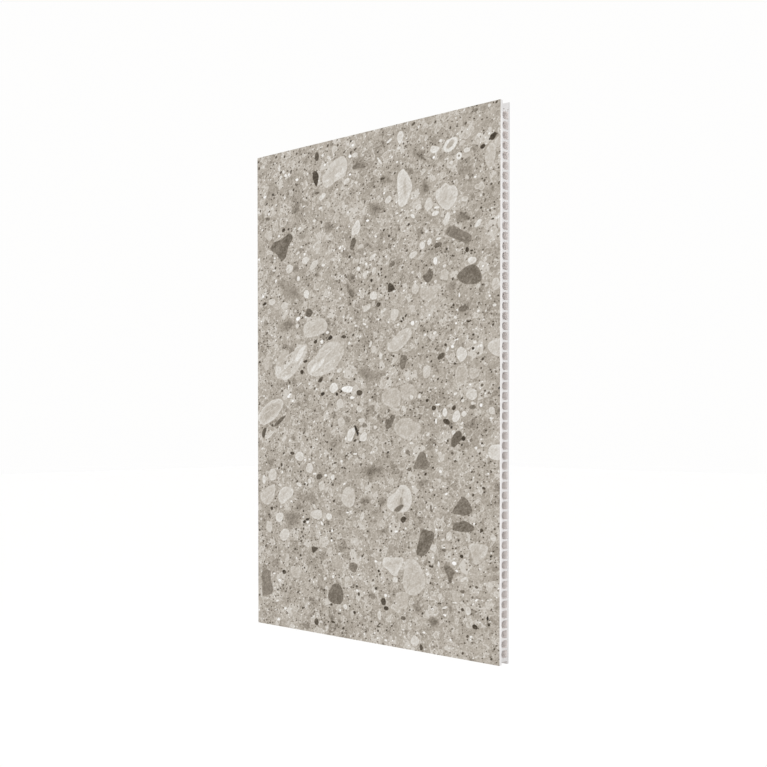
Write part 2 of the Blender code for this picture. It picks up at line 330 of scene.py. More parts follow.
# %% Rounded stones, veins and marks: x, z, width, height, tilt in degrees, grey
PALE_PEBBLES = [
    (-12.4, 172.5, 6.3, 3.5, 5, 205), (-17.6, 172.3, 3, 2.2, 0, 235), (-17.6, 158.8, 2.5, 1.5, 0, 230),
    (-77, 163.4, 3.2, 2.2, 0, 238), (-93, 171.5, 2, 1.6, 0, 225), (-86.3, 95.3, 8.6, 7.2, 0, 214),
    (-111, 123.8, 10, 7.5, -15, 190), (-76.3, 106.3, 5, 1.8, 30, 212), (-73.8, 125.4, 4, 1.5, 25, 210),
    (-47.5, 146.3, 6.2, 3.8, 25, 200), (-56.9, 129.4, 3, 1.5, 0, 225), (22, 135, 7, 4.6, 25, 212),
    (23, 177, 6.6, 2, 22, 214), (13.2, 164.2, 7.5, 2, -50, 212), (0.8, 122.5, 3.2, 1.8, 0, 230),
    (9.5, 110, 2.2, 1.4, 0, 225), (5.8, 95.2, 8, 3.4, 35, 211), (-6.8, 104.4, 7, 3.2, 20, 188),
    (-21.5, 154.4, 7.5, 4, 20, 210), (-32.4, 129.4, 7.5, 6, 0, 190), (30.8, 160.6, 2, 1.5, 0, 225),
    (66.8, 163.8, 8.2, 5.2, -12, 218), (66, 158.5, 2.5, 1.5, 25, 232), (96.6, 156, 10, 4.5, 0, 183),
    (117.2, 144, 2.2, 1.5, 0, 232), (103.5, 139.6, 2.5, 1.4, 0, 225), (61.6, 126.5, 7, 9.6, -20, 206),
    (94.7, 126.3, 5.5, 4, 0, 203), (69.1, 123.5, 6, 1.8, 0, 225), (67.4, 119.6, 7, 3.4, 10, 215),
    (55.2, 98.8, 5, 5.4, 0, 214), (62, 100.6, 3.6, 5.2, -25, 217), (46.3, 92.8, 8.5, 4, 20, 209),
    (106.3, 108.4, 7.5, 3.6, 35, 213), (-75.6, 86.5, 3.8, 3.8, 0, 218), (-102.5, 86.9, 2.5, 2, 30, 220),
    (-66.3, 74, 6, 6.2, 30, 220), (-107.5, 70.6, 8, 5.4, 0, 212), (-91.9, 66.6, 8.5, 6.2, 0, 206),
    (-75.9, 55.6, 5, 2.8, 15, 235), (-76.9, 50, 3.8, 3, 0, 210), (-48.5, 36.3, 3, 3, 0, 225),
    (-42.5, 43, 3.5, 2.2, 0, 215), (-94, 26.5, 15, 8, 35, 184), (-102.5, 35, 5, 3.6, 0, 195),
    (-113.8, 22.5, 8.5, 11, 0, 188), (-75, 3.8, 9, 1, 35, 222), (-87.5, 2.5, 1.5, 4, 0, 222),
    (-8.9, 88.1, 4.4, 3, 0, 220), (-1.8, 83.1, 4.2, 5.6, 0, 205), (7.6, 85, 4, 6.5, -25, 207),
    (7, 67.3, 7.5, 6, 0, 215), (-0.5, 58.8, 9.5, 4.8, 20, 203), (17, 55.6, 6.2, 2.4, 25, 206),
    (28.3, 51.9, 9, 7.5, 35, 204), (-2.4, 47, 4, 1.6, -15, 222), (-16.8, 52.3, 2, 1.3, 0, 225),
    (-11.5, 46.5, 2.2, 1.4, 0, 225), (7, 28, 6, 5, 20, 196), (4, 32, 2.5, 5.5, -30, 208), (14.5, 23, 3, 5, 0, 208),
    (-29.3, 13.8, 6.2, 3, 20, 208), (-35.5, 0.8, 8.8, 8, 15, 220), (-20.5, -0.4, 12.5, 5, 0, 235),
    (-15.5, -6.9, 5, 2.2, 0, 222), (-28.6, -11.3, 7.5, 6.8, 0, 204), (-8, -15.6, 5.6, 4.4, 0, 203),
    (25.8, -7.5, 20, 15, 0, 192), (42, -4, 16, 13, 0, 188), (37.6, -15.6, 3.5, 5, 30, 200),
    (67.6, 86.9, 4, 5.2, 0, 228), (101, 84, 7.5, 5, 0, 215), (76, 76.3, 8.2, 7.5, 0, 196), (61.6, 65, 16, 11, 0, 188),
    (48.5, 68.8, 7, 7, 0, 200), (121.6, 66.3, 7, 8, 0, 195), (89.7, 61.3, 1.6, 3, 0, 220),
    (46, 44.8, 3.2, 3.2, 0, 228), (86, 46.6, 2.4, 2.2, 0, 215), (120.4, 52.5, 3.5, 2, 0, 215),
    (67.2, 36.9, 3.2, 2, 30, 220), (87.2, 31.3, 4.8, 1.2, 15, 230), (97, 32.5, 2, 2.8, 0, 205),
    (83.5, 26.6, 2.6, 2.2, 0, 228), (78.9, 25, 2.4, 4.4, -30, 210), (103.5, 28.8, 3.2, 2.4, 0, 212),
    (108.9, 26.3, 2.6, 1.8, 0, 222), (59.7, 10.6, 7.5, 9.8, -25, 200), (102.9, 8.1, 9, 7.5, 0, 192),
    (52.9, -6.9, 3, 3, 0, 208), (44.7, -7.5, 3, 4, 30, 205), (101, -6.3, 9.2, 8, 0, 205),
    (109, -13.8, 2.4, 2.4, 0, 228), (70, -13, 4, 1.4, 5, 225), (76.6, -18.5, 4.4, 6.2, 0, 215),
    (68.5, -24.4, 2, 3.8, 0, 222), (92.2, -26, 3.5, 1.6, 30, 215), (84.7, -31.9, 3.8, 2.4, 0, 208),
    (-87.5, -5, 3, 2.2, 0, 232), (-110.6, -35, 12.5, 4.4, 25, 206), (-93, -38, 6, 4.5, 40, 200),
    (-119.4, -46.3, 4, 1.4, 20, 215), (-68, -54.4, 1.8, 1.6, 0, 225), (-63, -53.8, 2.6, 1.8, 0, 220),
    (-63, -60.6, 8, 8, 0, 206), (-56.9, -64.8, 4.5, 1.4, 5, 222), (-44.4, -65.6, 3.8, 1.8, 5, 225),
    (-95, -64.6, 2, 2, 0, 222), (-106.9, -66.9, 10, 10, 0, 207), (-117.5, -71.3, 4, 7.5, 0, 216),
    (-63, -70.6, 3.6, 3.6, 0, 212), (-75, -73.8, 6.5, 3, -15, 208), (-98, -75, 4.5, 2.2, 0, 205),
    (-48.8, -73.8, 7.5, 8, 0, 199), (-5.5, -23.8, 7.5, 3, 0, 207), (-27.4, -25, 7.5, 7, 0, 199),
    (8.9, -28.8, 3.8, 2.4, 0, 205), (40, -29, 24, 16, 0, 190), (-12.4, -48.8, 4.4, 1.4, 0, 228),
    (-36.8, -66.9, 3.6, 4.6, -30, 216), (64, -72.5, 3.8, 1.5, 0, 212), (-111.3, -108.8, 7.5, 9, 0, 200),
    (-48.8, -102.5, 4.4, 2, -45, 218), (-65, -102.5, 3.6, 2, 20, 225), (-40.8, -96.9, 6.2, 5, 0, 220),
    (-4.9, -95, 3.8, 6.8, -30, 203), (-20.5, -92.8, 2.5, 1.4, 0, 235), (-11.1, -114.4, 6.2, 6.2, 0, 195),
    (-89.4, -132.5, 4, 10, -10, 195), (-105, -146, 3, 1.4, 10, 220), (-101.3, -167.5, 4, 1.6, 20, 215),
    (29, -138.8, 5.6, 4, 0, 213), (9.3, -127, 2.2, 1.6, 0, 228), (38.9, -126, 2.4, 2.4, 0, 215),
    (-32.4, -131.3, 10, 7.5, 0, 180), (-20.5, -143, 6.5, 5, 0, 194), (13, -166.3, 4, 6.4, 0, 206),
    (-23, -163.8, 4, 3.6, 0, 212), (36, -153, 14, 13, 0, 188), (66, -113, 6.8, 5, 0, 206),
    (80.4, -103.8, 5, 6.5, -35, 205), (119.7, -102.5, 5, 4.4, 0, 203), (71, -124, 2, 4, 0, 215),
    (85.4, -122.3, 4, 2.4, 0, 232), (87.6, -127.3, 2.8, 1.6, -20, 228), (94, -132.5, 7, 2.4, 30, 202),
    (116.6, -135.6, 6, 7, 0, 200), (87.2, -145, 7.5, 7.5, 0, 184), (86, -149.4, 6, 1.2, 0, 222),
    (76.6, -153.8, 5.6, 1.8, 20, 212), (97.9, -153.8, 5, 6, 0, 206), (57.2, -173.5, 3, 1.5, 0, 225),
    (48.5, -180.6, 8.2, 7.5, 25, 210), (-43, -182.5, 2.5, 6, -25, 196), (-83.1, -185.6, 6, 3, 0, 205),
    (-37.4, -107.5, 2, 2, 0, 220), (-38, -115, 2, 2, 0, 220), (96.2, 158.8, 5.5, 3.6, 0, 212),
    (92, 164.3, 6, 3, 15, 196), (82.2, 152.5, 3.5, 2.6, 0, 205), (78, 155.6, 4, 1.4, 0, 205),
    (72.6, 169, 3.2, 2.2, 0, 212), (107, 167.4, 3, 2.4, 0, 204), (51.8, 126, 6, 4, 10, 205),
    (46.2, 120.3, 4.5, 2.6, -30, 216), (85.2, 118.4, 2.6, 1.8, 0, 215), (70.6, 101.8, 5, 2, 8, 213),
    (23, 181.4, 5.5, 1.3, -12, 205), (32.6, 170.3, 4, 2, 10, 212), (-11, 151.9, 3, 2, 0, 206),
    (-28.6, 105.6, 3, 2, 30, 222), (30.6, 124.2, 3.5, 1.5, 0, 212), (34.2, 122.3, 2.4, 1.6, 0, 215),
    (35.8, 126, 2.4, 1.6, 0, 212), (-48, 146.5, 9, 4, 28, 214), (-67, 100, 8.4, 5, 10, 216),
    (-57.5, 95.6, 11, 5.4, 28, 205), (-47, 94.4, 4, 2, 0, 212), (-104.6, 95.4, 5, 1.6, 0, 208),
    (-50, 138, 5, 2, 10, 214), (-57, 129.3, 5, 2, 0, 208), (-74, 125.3, 4, 2, 20, 212), (-93, 171.8, 3, 2.6, 0, 209),
    (-90.5, 168.6, 3, 2.4, 0, 224), (-98, 175.6, 3, 5.6, 0, 203), (-41, 175, 4, 2.6, 0, 208),
    (-47.6, 177.6, 2.4, 2, 0, 214), (-103.6, 105, 2.6, 1.4, 0, 218), (-98.6, 122, 3, 2, 0, 217),
    (-79.6, 126, 2.4, 1.4, 0, 212), (94, -19.6, 4.4, 3.6, 20, 210), (118.4, -17.6, 5.4, 5, 0, 204),
    (45, -7.6, 3.4, 3, 0, 210), (86.2, -5.6, 3.4, 2, 20, 208), (92.6, -10.6, 2.6, 2, 0, 214), (45, -40, 4, 2, 0, 208),
    (60.6, -33.6, 4, 2.4, 35, 208), (84.6, -32.2, 3.6, 3, 20, 211), (104.6, -42.6, 2.4, 2, 0, 214),
]
STONE_VEINS = [
    (81, 164.8, 14.6, 9.2, 27, 224), (81.6, 165.2, 9, 4.6, 27, 176), (89.2, 156, 6, 5.6, 0, 226),
    (89.2, 156, 2.2, 2.2, 0, 118), (91.6, 7, 12, 15, 0, 197), (91.6, 7, 9.5, 12.5, 0, 178),
    (-79.5, -142.5, 7.5, 5, 0, 182), (-113, -16.5, 13, 1.3, 26, 207), (-105, -14, 13, 1.3, 26, 210),
    (-110, -20, 13, 1.5, 26, 163), (-108, -17.3, 16, 1.1, 26, 172), (34, -84, 6.5, 11, -12, 180),
    (34.6, -82.5, 3.2, 9.5, -12, 150), (36.3, -75.5, 1.8, 8, -16, 168), (32.8, -87.2, 11, 4.6, 24, 116),
    (-74, 28, 19, 6, 46, 219), (-97, 13.5, 13, 7, 10, 200), (-86, 28, 14, 2, 24, 210), (-88, 21, 15, 5, 30, 205),
    (-82, 17, 9, 1.4, 40, 205), (-92, 17, 12, 1.2, 25, 219), (-100, 16, 8, 8, 0, 212), (-90, 10.2, 11, 4.5, 12, 211),
    (-27, 31, 5, 9, -20, 186), (-31, 22, 8, 3, 30, 186), (-36, 14, 10, 2, 25, 188), (-87, 23, 3, 1.4, 20, 110),
    (-84, 18, 2, 1.4, 0, 95), (-91, 21, 2, 1.2, 0, 120), (-73, 22, 9, 1.2, 50, 225), (-38, 163, 11, 1.6, 25, 178),
    (-30, 166.5, 9, 1.8, -35, 196), (-43, 157.5, 6, 2.5, 10, 218), (-25, 162, 5, 7, -20, 206),
    (-36, 168, 9, 2, 20, 204), (-54, 18, 19, 6, 30, 217), (-34, 28, 20, 8, 25, 190), (-45, 25, 30, 1.6, 32, 216),
    (-48, 16, 22, 1.2, 28, 212), (-35, 24, 16, 1.2, 40, 206), (-55, 21, 16, 1.1, 35, 206),
    (-40, 31, 16, 1.2, 22, 208), (-30, 29, 10, 1, 50, 178), (-42, 20, 12, 1, 25, 218), (-57, 48.5, 18, 1.4, 8, 190),
    (-55, 44.5, 14, 1.2, 14, 192), (34, 34.5, 18, 1.4, 32, 198), (31, 31, 12, 1.2, 35, 190),
    (38.5, 141, 4, 11, 0, 190), (79, 130.5, 1, 9, 35, 190), (80, 129, 8, 1, -20, 190), (46, -134, 1, 14, 25, 184),
    (-108, -83, 7, 1.2, 40, 178), (-91, -83, 9, 1.2, 20, 190), (-19, -81, 6, 1.2, 30, 193), (123, 160, 6, 8, 0, 197),
    (123.5, 160, 4, 5.5, 0, 182), (25, -7, 16, 11, 0, 184), (27, -10, 9, 1.2, 15, 193), (40, -29, 20, 12.5, 0, 184),
    (36, -32, 8, 1, 40, 172), (60, 65, 12, 8, 0, 183), (57, 63, 7, 1, 20, 188), (36, -153, 11, 10, 0, 183),
    (106, -113, 1, 9, -20, 186), (117.4, 143.8, 2.2, 2, 0, 232), (-30.5, 160.5, 7, 4, 10, 214),
]
DARK_MARKS = [
    (-88, 119, 9, 6, 60, 92), (-101, 111, 12, 4, 20, 124), (83, 105, 5, 3, -20, 118), (93, 100, 4, 2, -20, 152),
    (96.5, 99.4, 4.2, 3.6, 0, 104), (87, 102.5, 4, 2, -10, 128), (94, 74.5, 8, 3, 20, 108), (104, 76, 6, 5, 0, 100),
    (103, 70, 9, 2, 10, 128), (53, -55, 5, 2, 60, 142), (57, -50, 3, 5, -20, 134), (55, -57, 8, 1.4, 0, 121),
    (88, -86.5, 8, 1.4, 10, 132), (95, -83, 8, 1.4, -20, 130), (91, -82, 6, 1.2, 30, 134),
    (90, -95.5, 7, 1.6, 5, 128), (97, -97, 8, 2, -5, 110), (56, -106, 4, 7, -25, 126), (62, -104, 4, 3, 0, 118),
    (57, -115, 5, 3, 0, 130), (81, -130, 2.6, 6, 10, 142), (-37, -152, 5, 4, 30, 112), (-30, -157, 6, 5, 0, 98),
    (-34, -160, 8, 1.4, 0, 120), (-116, -150, 3, 9, 10, 144), (-111, -157, 4, 9, -10, 120),
    (-117, -160, 4, 5, 0, 118), (-55, 164, 2, 3, 0, 65), (36.5, 19, 3, 3, 0, 140), (25, -22, 4, 2, 0, 92),
    (21, -27, 3, 3, 0, 124), (91.5, 117, 4, 2.4, 0, 108), (97.5, 112.6, 4, 3.4, 0, 106),
    (-12.6, 163.7, 4.4, 2.6, 0, 104), (54.5, 160.5, 17, 1.5, -34, 96), (10, 6, 3, 1.4, 20, 105),
    (-92, 55, 3, 1.4, 20, 105), (-86, 49, 3, 1.4, -20, 105), (8, -60, 10, 1.2, 30, 95), (4, -63, 8, 1.2, -10, 100),
    (103, 158.2, 4.6, 3.6, 20, 134), (90, 112.6, 5, 2, 0, 132), (101.5, 127, 4.6, 4, 0, 144),
    (-13.8, 110, 3.6, 2.4, -20, 84), (-21.5, 92.8, 6, 2, 10, 128), (-77.6, 139.6, 5, 2.6, 25, 122),
    (-78.6, 159.6, 4, 1.8, 20, 118), (-84, 160.6, 2.4, 1.6, 0, 118), (-78.2, 99.7, 3, 2, 20, 112),
    (-77.6, 94, 7.4, 2.6, 0, 142),
]
DARK_PEBBLES = [
    (-54, 177.5, 4.4, 7, 0, 84), (-93, 126, 4, 2.8, 25, 85), (-68, 170, 2, 1.6, 0, 95),
    (-77.5, 159.4, 3.8, 1.5, 0, 115), (-53.8, 150, 5.5, 2, 0, 115), (-49.4, 127.8, 2, 1.2, 0, 100),
    (46.9, 185, 3.8, 1.9, 25, 110), (103.5, 184.4, 5, 2.5, 0, 135), (119.1, 164.4, 6.2, 4.2, 30, 70),
    (110.1, 159, 4.4, 2.8, 15, 75), (70.2, 97.6, 7.2, 3.6, 10, 112), (119.1, 109.8, 1.6, 1.2, 0, 90),
    (116.6, 115.6, 1.8, 1.4, 0, 100), (96.6, 91.5, 2.8, 3.5, 0, 75), (100.6, 90.6, 2.5, 1.3, 0, 90),
    (4.9, 78.5, 2.2, 2.2, 0, 80), (12, 82.5, 1.6, 1.6, 0, 100), (12, 60.3, 4.4, 3, 20, 85),
    (26, 88.3, 6, 3.4, 25, 120), (36.7, 48.9, 1.6, 1.6, 0, 80), (35.2, 46.8, 1.9, 1.4, 0, 80),
    (-116, 69.8, 3.8, 2.4, 10, 85), (-113.8, 75, 2.2, 2, 0, 110), (-70.6, 56, 1.6, 1.4, 0, 100),
    (-56, 36.5, 4, 2.8, 10, 80), (-39.3, 38.8, 5, 3, 20, 75), (-24.3, 38.8, 5, 2.4, -5, 95),
    (-67.5, 21.9, 4.4, 2, 15, 90), (-71.5, 13.8, 4, 3.3, 0, 75), (-108, 3.8, 1.8, 1.5, 0, 100),
    (-110.6, 13.8, 2, 1.5, 0, 100), (-112.5, 35.4, 3, 1.2, -15, 100), (84.4, 55, 1.8, 1.8, 0, 100),
    (97.9, 43, 3.4, 1.4, 0, 95), (102.2, 33.8, 2, 1.4, 0, 90), (77.2, 28.1, 2.2, 2, 0, 90),
    (102, 24.6, 2.2, 2, 0, 75), (27.3, 22.3, 2, 1.6, 0, 85), (21.4, 20, 1.8, 1.2, 0, 95),
    (-2.4, 30.6, 1.4, 1.4, 0, 105), (-2.4, 28.1, 1.4, 1.4, 0, 105), (-31.8, 7.8, 1.8, 1.2, 0, 90),
    (-38, 6.3, 1.8, 1.4, 0, 100), (-47.8, -3.5, 4.8, 2.6, 15, 80), (-95, -0.3, 2.2, 1.8, 0, 110),
    (-32, -4, 3, 2.4, 0, 85), (-27, -1.9, 2, 1.6, 0, 80), (-7.6, -3.4, 6.4, 4.2, 0, 85),
    (-106.9, -27.5, 1.8, 1.6, 0, 85), (60, -10, 2.6, 2.2, 0, 85), (66.4, -15.4, 4, 3.3, 0, 80),
    (84.9, -15.4, 3.8, 3, 35, 90), (101.6, -15, 5.6, 3, 5, 125), (92.2, -9, 2, 1.2, 30, 90),
    (78.2, -25, 7.2, 3.8, -20, 85), (93.5, -36.3, 3.6, 3, 15, 72), (100.4, -37.5, 2.8, 2.2, 0, 120),
    (79.4, -38, 1.6, 1.6, 0, 100), (110, -39.4, 1.8, 1.3, 0, 80), (83.5, -46.6, 2.5, 2, 0, 110),
    (41.4, -46.5, 3.8, 3.2, 0, 130), (42.9, -58.8, 4.5, 2.4, 10, 122), (65.7, -57, 1.8, 1.5, 0, 95),
    (-97.9, -24, 15.4, 3.6, 31, 98), (-10.9, -31, 8.6, 2.8, -65, 58), (-12.4, -38.8, 3.8, 1.8, 20, 95),
    (-2.4, -27.5, 5, 3.4, 0, 135), (-83, -49.4, 5, 2.6, 0, 85), (-85.6, -52.5, 5.6, 3.5, 20, 140),
    (-95.9, -58.8, 2.6, 2.4, 0, 90), (-51.9, -66.9, 6.8, 4.5, 15, 95), (-68.8, -73.4, 3, 1.3, 0, 95),
    (-21.8, -50.3, 3.8, 1.4, 20, 95), (-34, -56, 4, 1.5, 10, 105), (-26, -59.4, 1.6, 1.2, 0, 95),
    (-23.6, -59.6, 1.6, 1.4, 0, 95), (-36.8, -72.5, 2.8, 1.9, 0, 105), (17, -90.6, 2.2, 1.2, 0, 95),
    (-107.9, -94, 3, 2.5, 0, 85), (-70, -94.4, 1.6, 1.6, 0, 95), (111.6, -69.6, 2.8, 1.7, -15, 90),
    (63.7, -85, 2, 4.4, 0, 130), (37, -94.8, 5.2, 4.2, 25, 75), (-65.3, -100.4, 4.4, 1.9, 10, 75),
    (-68.8, -102.5, 3.4, 2.4, 20, 80), (-70, -108, 1.6, 1.6, 0, 95), (-71.9, -110.6, 1.6, 1.6, 0, 95),
    (-70.6, -114, 1.6, 1.6, 0, 95), (-72.8, -117.8, 1.6, 1.6, 0, 95), (-93, -143.8, 4.5, 3.4, 0, 75),
    (-68.8, -138.4, 1.6, 1.4, 0, 95), (-56.9, -144.6, 1.6, 1.3, 0, 95), (-55, -179, 4.8, 5.2, 0, 85),
    (12.4, -133.8, 2.2, 2, 0, 78), (-10.8, -147.3, 2.2, 1.8, 0, 90), (-8.4, -152.9, 2.2, 2.8, 0, 90),
    (6.1, -153, 5.6, 4.6, 0, 140), (17.3, -155.9, 5, 5.2, 20, 75), (19.9, -160.4, 4.6, 3.2, 0, 78),
    (-13, -167, 2.8, 2.4, 0, 85), (-18.4, -162.9, 1.8, 1.4, 0, 95), (-29.9, -169.8, 2.2, 1.2, 0, 90),
    (-36.5, -176.9, 4.6, 1.8, -5, 85), (11.6, -174.4, 1.6, 1.6, 0, 95), (11.6, -177.8, 1.6, 1.6, 0, 95),
    (37, -165.6, 5, 3, 0, 115), (109.7, -98, 2.6, 2.4, 0, 85), (121, -96.5, 1.8, 1.3, 0, 100),
    (92, -117, 3.2, 2.4, -15, 80), (76, -113.8, 4.4, 2.4, 0, 125), (62.9, -126, 1.8, 1.8, 0, 90),
    (62.2, -123.2, 1.8, 1.4, 0, 90), (105.4, -136.9, 2.8, 1.8, 0, 105), (92.9, -141, 4.4, 2.5, 0, 130),
    (92.9, -153.5, 2.6, 2.2, 0, 90), (89.7, -155.6, 1.5, 1.2, 0, 100), (115, -156.9, 1.8, 2.8, 0, 75),
    (116, -161, 2.2, 2, 0, 85), (104, -164, 4.8, 3.2, -5, 75), (54.4, -184.4, 2.8, 4.4, 0, 85),
    (16.4, 150.9, 3.8, 1.5, 0, 90), (10.8, 130, 8, 1.5, -5, 125), (111, 126.8, 1.8, 1.8, 0, 112),
    (112.3, 123, 2.8, 1.5, 60, 115), (117.5, 133, 1.7, 1.5, 0, 105), (108.8, 118.4, 1.8, 1.6, 0, 105),
    (-16.8, 174.6, 2, 2.6, 0, 115), (-24.6, 103, 1.8, 1.4, 0, 112),
]
print(len(PALE_PEBBLES), "pale and", len(DARK_PEBBLES), "dark pebbles")
print(len(STONE_VEINS), "veins and rings, and", len(DARK_MARKS), "dark marks")

# %% [markdown]
# Some stones lie deeper in the ground and show only as blurred darker patches. They get the same kind of entry, and a
# wide soft edge instead of a crisp one. Where sand lies over the rim of a big drawn stone, a blurred patch in the
# ground's grey hides the rim.

# %% Blurred patches: x, z, width, height, tilt in degrees, grey
SOFT_PATCHES = [
    (-77, 139.4, 9, 7, 20, 118), (-112.5, 137.5, 6, 4, 0, 88), (-8.5, 164.6, 15, 9, 0, 136), (20, 149, 15, 9, 0, 138),
    (16, 151, 7, 3.5, 0, 106), (8.9, 131, 20, 12, 0, 140), (10, 130, 9, 4, -10, 118), (53.5, 161, 21, 5, -35, 140),
    (57.5, 139, 14, 12, 45, 130), (59, 138.5, 6, 5, 0, 108), (93, 114, 14, 10, 0, 120), (96.6, 145, 15, 10, 0, 142),
    (-78, 94, 9, 7, 0, 130), (-87, 79, 31, 17, -25, 148), (-96, 84, 14, 9, -25, 140), (-79, 75, 14, 9, -25, 134),
    (-90, 51.3, 25, 14, 0, 140), (-88, 52, 12, 7, 0, 125), (-18, 73.1, 16, 8, -50, 112), (-17, 70, 8, 4, -60, 95),
    (-0.5, 10, 30, 14, -10, 142), (8, 9, 12, 6, 0, 142), (81.6, 66.3, 10, 9, 0, 130), (5, -61, 27, 13, 5, 132),
    (6, -60, 13, 6, 10, 116), (-2.4, -83.1, 11, 6, 20, 104), (15.8, -83.1, 9, 8, 0, 126),
    (-66.3, -83, 26, 11, 0, 142), (55.4, -68, 9, 7, 0, 132), (-82.5, -100.6, 25, 20, 0, 132),
    (-42.4, 123.1, 13, 10, 0, 136), (-52.5, 86.9, 7, 5, 0, 120), (-81.9, -37.5, 9, 7, 0, 128),
    (82.2, 4.4, 6, 4, 0, 120), (66.6, -165, 12, 8, 0, 108), (51, -156.9, 10, 8, 0, 124),
    (-37.4, -173.8, 9, 9, 0, 112),
]
GROUND_OVER_STONES = [
    (-78, 38, 12, 5, 10, 174), (-107, 13, 7, 12, 0, 173), (-32, 37, 18, 5, 5, 180), (-100, 8, 12, 5, 0, 174),
]
print(len(SOFT_PATCHES), "blurred patches and", len(GROUND_OVER_STONES), "places where sand lies over a stone")

# %% [markdown]
# ## From stones to closed rings
# A drawn stone's corners become a smooth closed curve through all of them. A pebble's ellipse is pushed in and out a
# little by noise, with the pebble's own number as the seed, so that every run gives the same shapes.

# %% Rings of points for drawn stones and pebbles
CURVE_STEPS = 3
SMALL_PEBBLE, BIG_PEBBLE = 3, 8
FEW_SIDES, MANY_SIDES = 10, 18
SLIGHT_LUMPS, STRONG_LUMPS = 0.16, 0.30
LUMP_SCALE = 1.4
SEED_STEP = 7.3


def curve_through(corners):
    """A smooth closed ring through the corners (a Catmull-Rom curve)."""
    corners = np.array(corners, float)
    before, after, beyond = (np.roll(corners, shift, axis=0) for shift in (1, -1, -2))
    rings = []
    for step in range(CURVE_STEPS):
        t = step / CURVE_STEPS
        rings.append(0.5 * (
            2 * corners + (after - before) * t + (2 * before - 5 * corners + 4 * after - beyond) * t ** 2
            + (3 * corners - before - 3 * after + beyond) * t ** 3
        ))
    return np.stack(rings, axis=1).reshape(-1, 2)


def pebble_ring(x, z, width, height, tilt, number):
    """A lumpy ellipse: bigger pebbles get more points and stronger lumps."""
    sides = FEW_SIDES if max(width, height) < SMALL_PEBBLE else MANY_SIDES
    lumps = SLIGHT_LUMPS if max(width, height) < BIG_PEBBLE else STRONG_LUMPS
    round_turn = [(math.cos(math.tau * step / sides), math.sin(math.tau * step / sides)) for step in range(sides)]
    oval = []
    for across, up in round_turn:
        far = 1 + lumps * noise.noise((LUMP_SCALE * across, LUMP_SCALE * up, SEED_STEP * number))
        oval.append((0.5 * width * far * across, 0.5 * height * far * up))
    lean = math.radians(tilt)
    spin = np.array([(math.cos(lean), math.sin(lean)), (-math.sin(lean), math.cos(lean))])
    return np.array(oval) @ spin + (x, z)


print("a small pebble has", len(pebble_ring(0, 0, 1, 1, 0, 0)), "points")

# %% [markdown]
# The stones are then listed in drawing order: the blurred patches, the pale stones, the sand over them, their veins,
# and the dark stones on top. Print spreads a little, so each outline grows slightly. A pale stone also gets a soft
# shade round it, as in the printed picture, and a bigger one has a middle of another grey. A small stone is mostly
# edge, and edges blur its grey, so it gets more contrast with the ground.

# %% List the stones in drawing order
GROUND_LEVEL = 172
CRISP_EDGE = 0.4
PRINT_SPREAD = 0.3
SHADE_LEVEL, SHADE_REACH, SHADE_FEATHER = 158, 1.7, 3.0
SHADE_FROM_WIDTH = 3
MOST_EXTRA_CONTRAST, EXTRA_CONTRAST, CONTRAST_LOSS_PER_MM = 0.3, 0.45, 0.2
PALEST = 250
MIDDLE_SIZE, MIDDLE_FEATHER = 0.9, 0.45
PEBBLE_MIDDLE, PALE_MIDDLE, DARK_MIDDLE = -5, -12, -4
MIDDLE_FROM_AREA = 24
PALE_LIFT, DARK_LIFT = 1, 2
BLUR = (0.40, math.inf)
VEIN_FEATHER = (0.3, 0.6)
MARK_FEATHER = (0.45, 1.2)

stones = []


def grown(ring, distance):
    """The ring, moved outwards by about the distance."""
    centre = ring.mean(axis=0)
    return centre + (ring - centre) * (1 + distance / np.hypot(*(ring - centre).T).mean())


def add_stone(ring, grey, middle_shift=0, shade=False):
    """A crisp stone, perhaps with a shade round it and a middle of another grey; small ones get more contrast."""
    centre = ring.mean(axis=0)
    radius = np.hypot(*(ring - centre).T).min()
    extra = min(max(EXTRA_CONTRAST - CONTRAST_LOSS_PER_MM * radius, 0), MOST_EXTRA_CONTRAST)
    grey = min(grey + (grey - GROUND_LEVEL) * extra, PALEST)
    if shade:
        stones.append((grown(ring, SHADE_REACH), SHADE_FEATHER, SHADE_LEVEL, False))
    stones.append((grown(ring, PRINT_SPREAD), CRISP_EDGE, grey, True))
    if middle_shift:
        middle = centre + (ring - centre) * MIDDLE_SIZE
        stones.append((middle, MIDDLE_FEATHER * radius, grey + middle_shift, False))


def add_ellipses(entries, feather, crisp):
    """Plain ellipses, which fade inwards over a share of their narrower side, up to a widest edge."""
    share, widest = feather
    for x, z, width, height, tilt, grey in entries:
        ring = pebble_ring(x, z, width, height, tilt, len(stones))
        stones.append((ring, min(share * min(width, height), widest), grey, crisp))


add_ellipses(SOFT_PATCHES, BLUR, False)
for x, z, width, height, tilt, grey in PALE_PEBBLES:
    ring = pebble_ring(x, z, width, height, tilt, len(stones))
    middle_shift = PEBBLE_MIDDLE if width * height > MIDDLE_FROM_AREA else 0
    add_stone(ring, grey + PALE_LIFT, middle_shift, width > SHADE_FROM_WIDTH)
for grey, corners in PALE_STONES:
    add_stone(curve_through(corners), grey + PALE_LIFT, PALE_MIDDLE, True)
add_ellipses(GROUND_OVER_STONES, BLUR, False)
add_ellipses(STONE_VEINS, VEIN_FEATHER, True)
for grey, corners in DARK_STONES:
    add_stone(curve_through(corners), grey + DARK_LIFT, DARK_MIDDLE)
add_ellipses(DARK_MARKS, MARK_FEATHER, True)
for x, z, width, height, tilt, grey in DARK_PEBBLES:
    add_stone(pebble_ring(x, z, width, height, tilt, len(stones)), grey)
print(len(stones), "stones, patches and marks in drawing order")

# %% [markdown]
# ## The sheet
# The sheet's mesh is one triangulation of an even net of points and of two rings for each crisp stone: its outline
# and a second ring just inside it. The colour can then change between the two rings, which is the width of a printed
# edge.

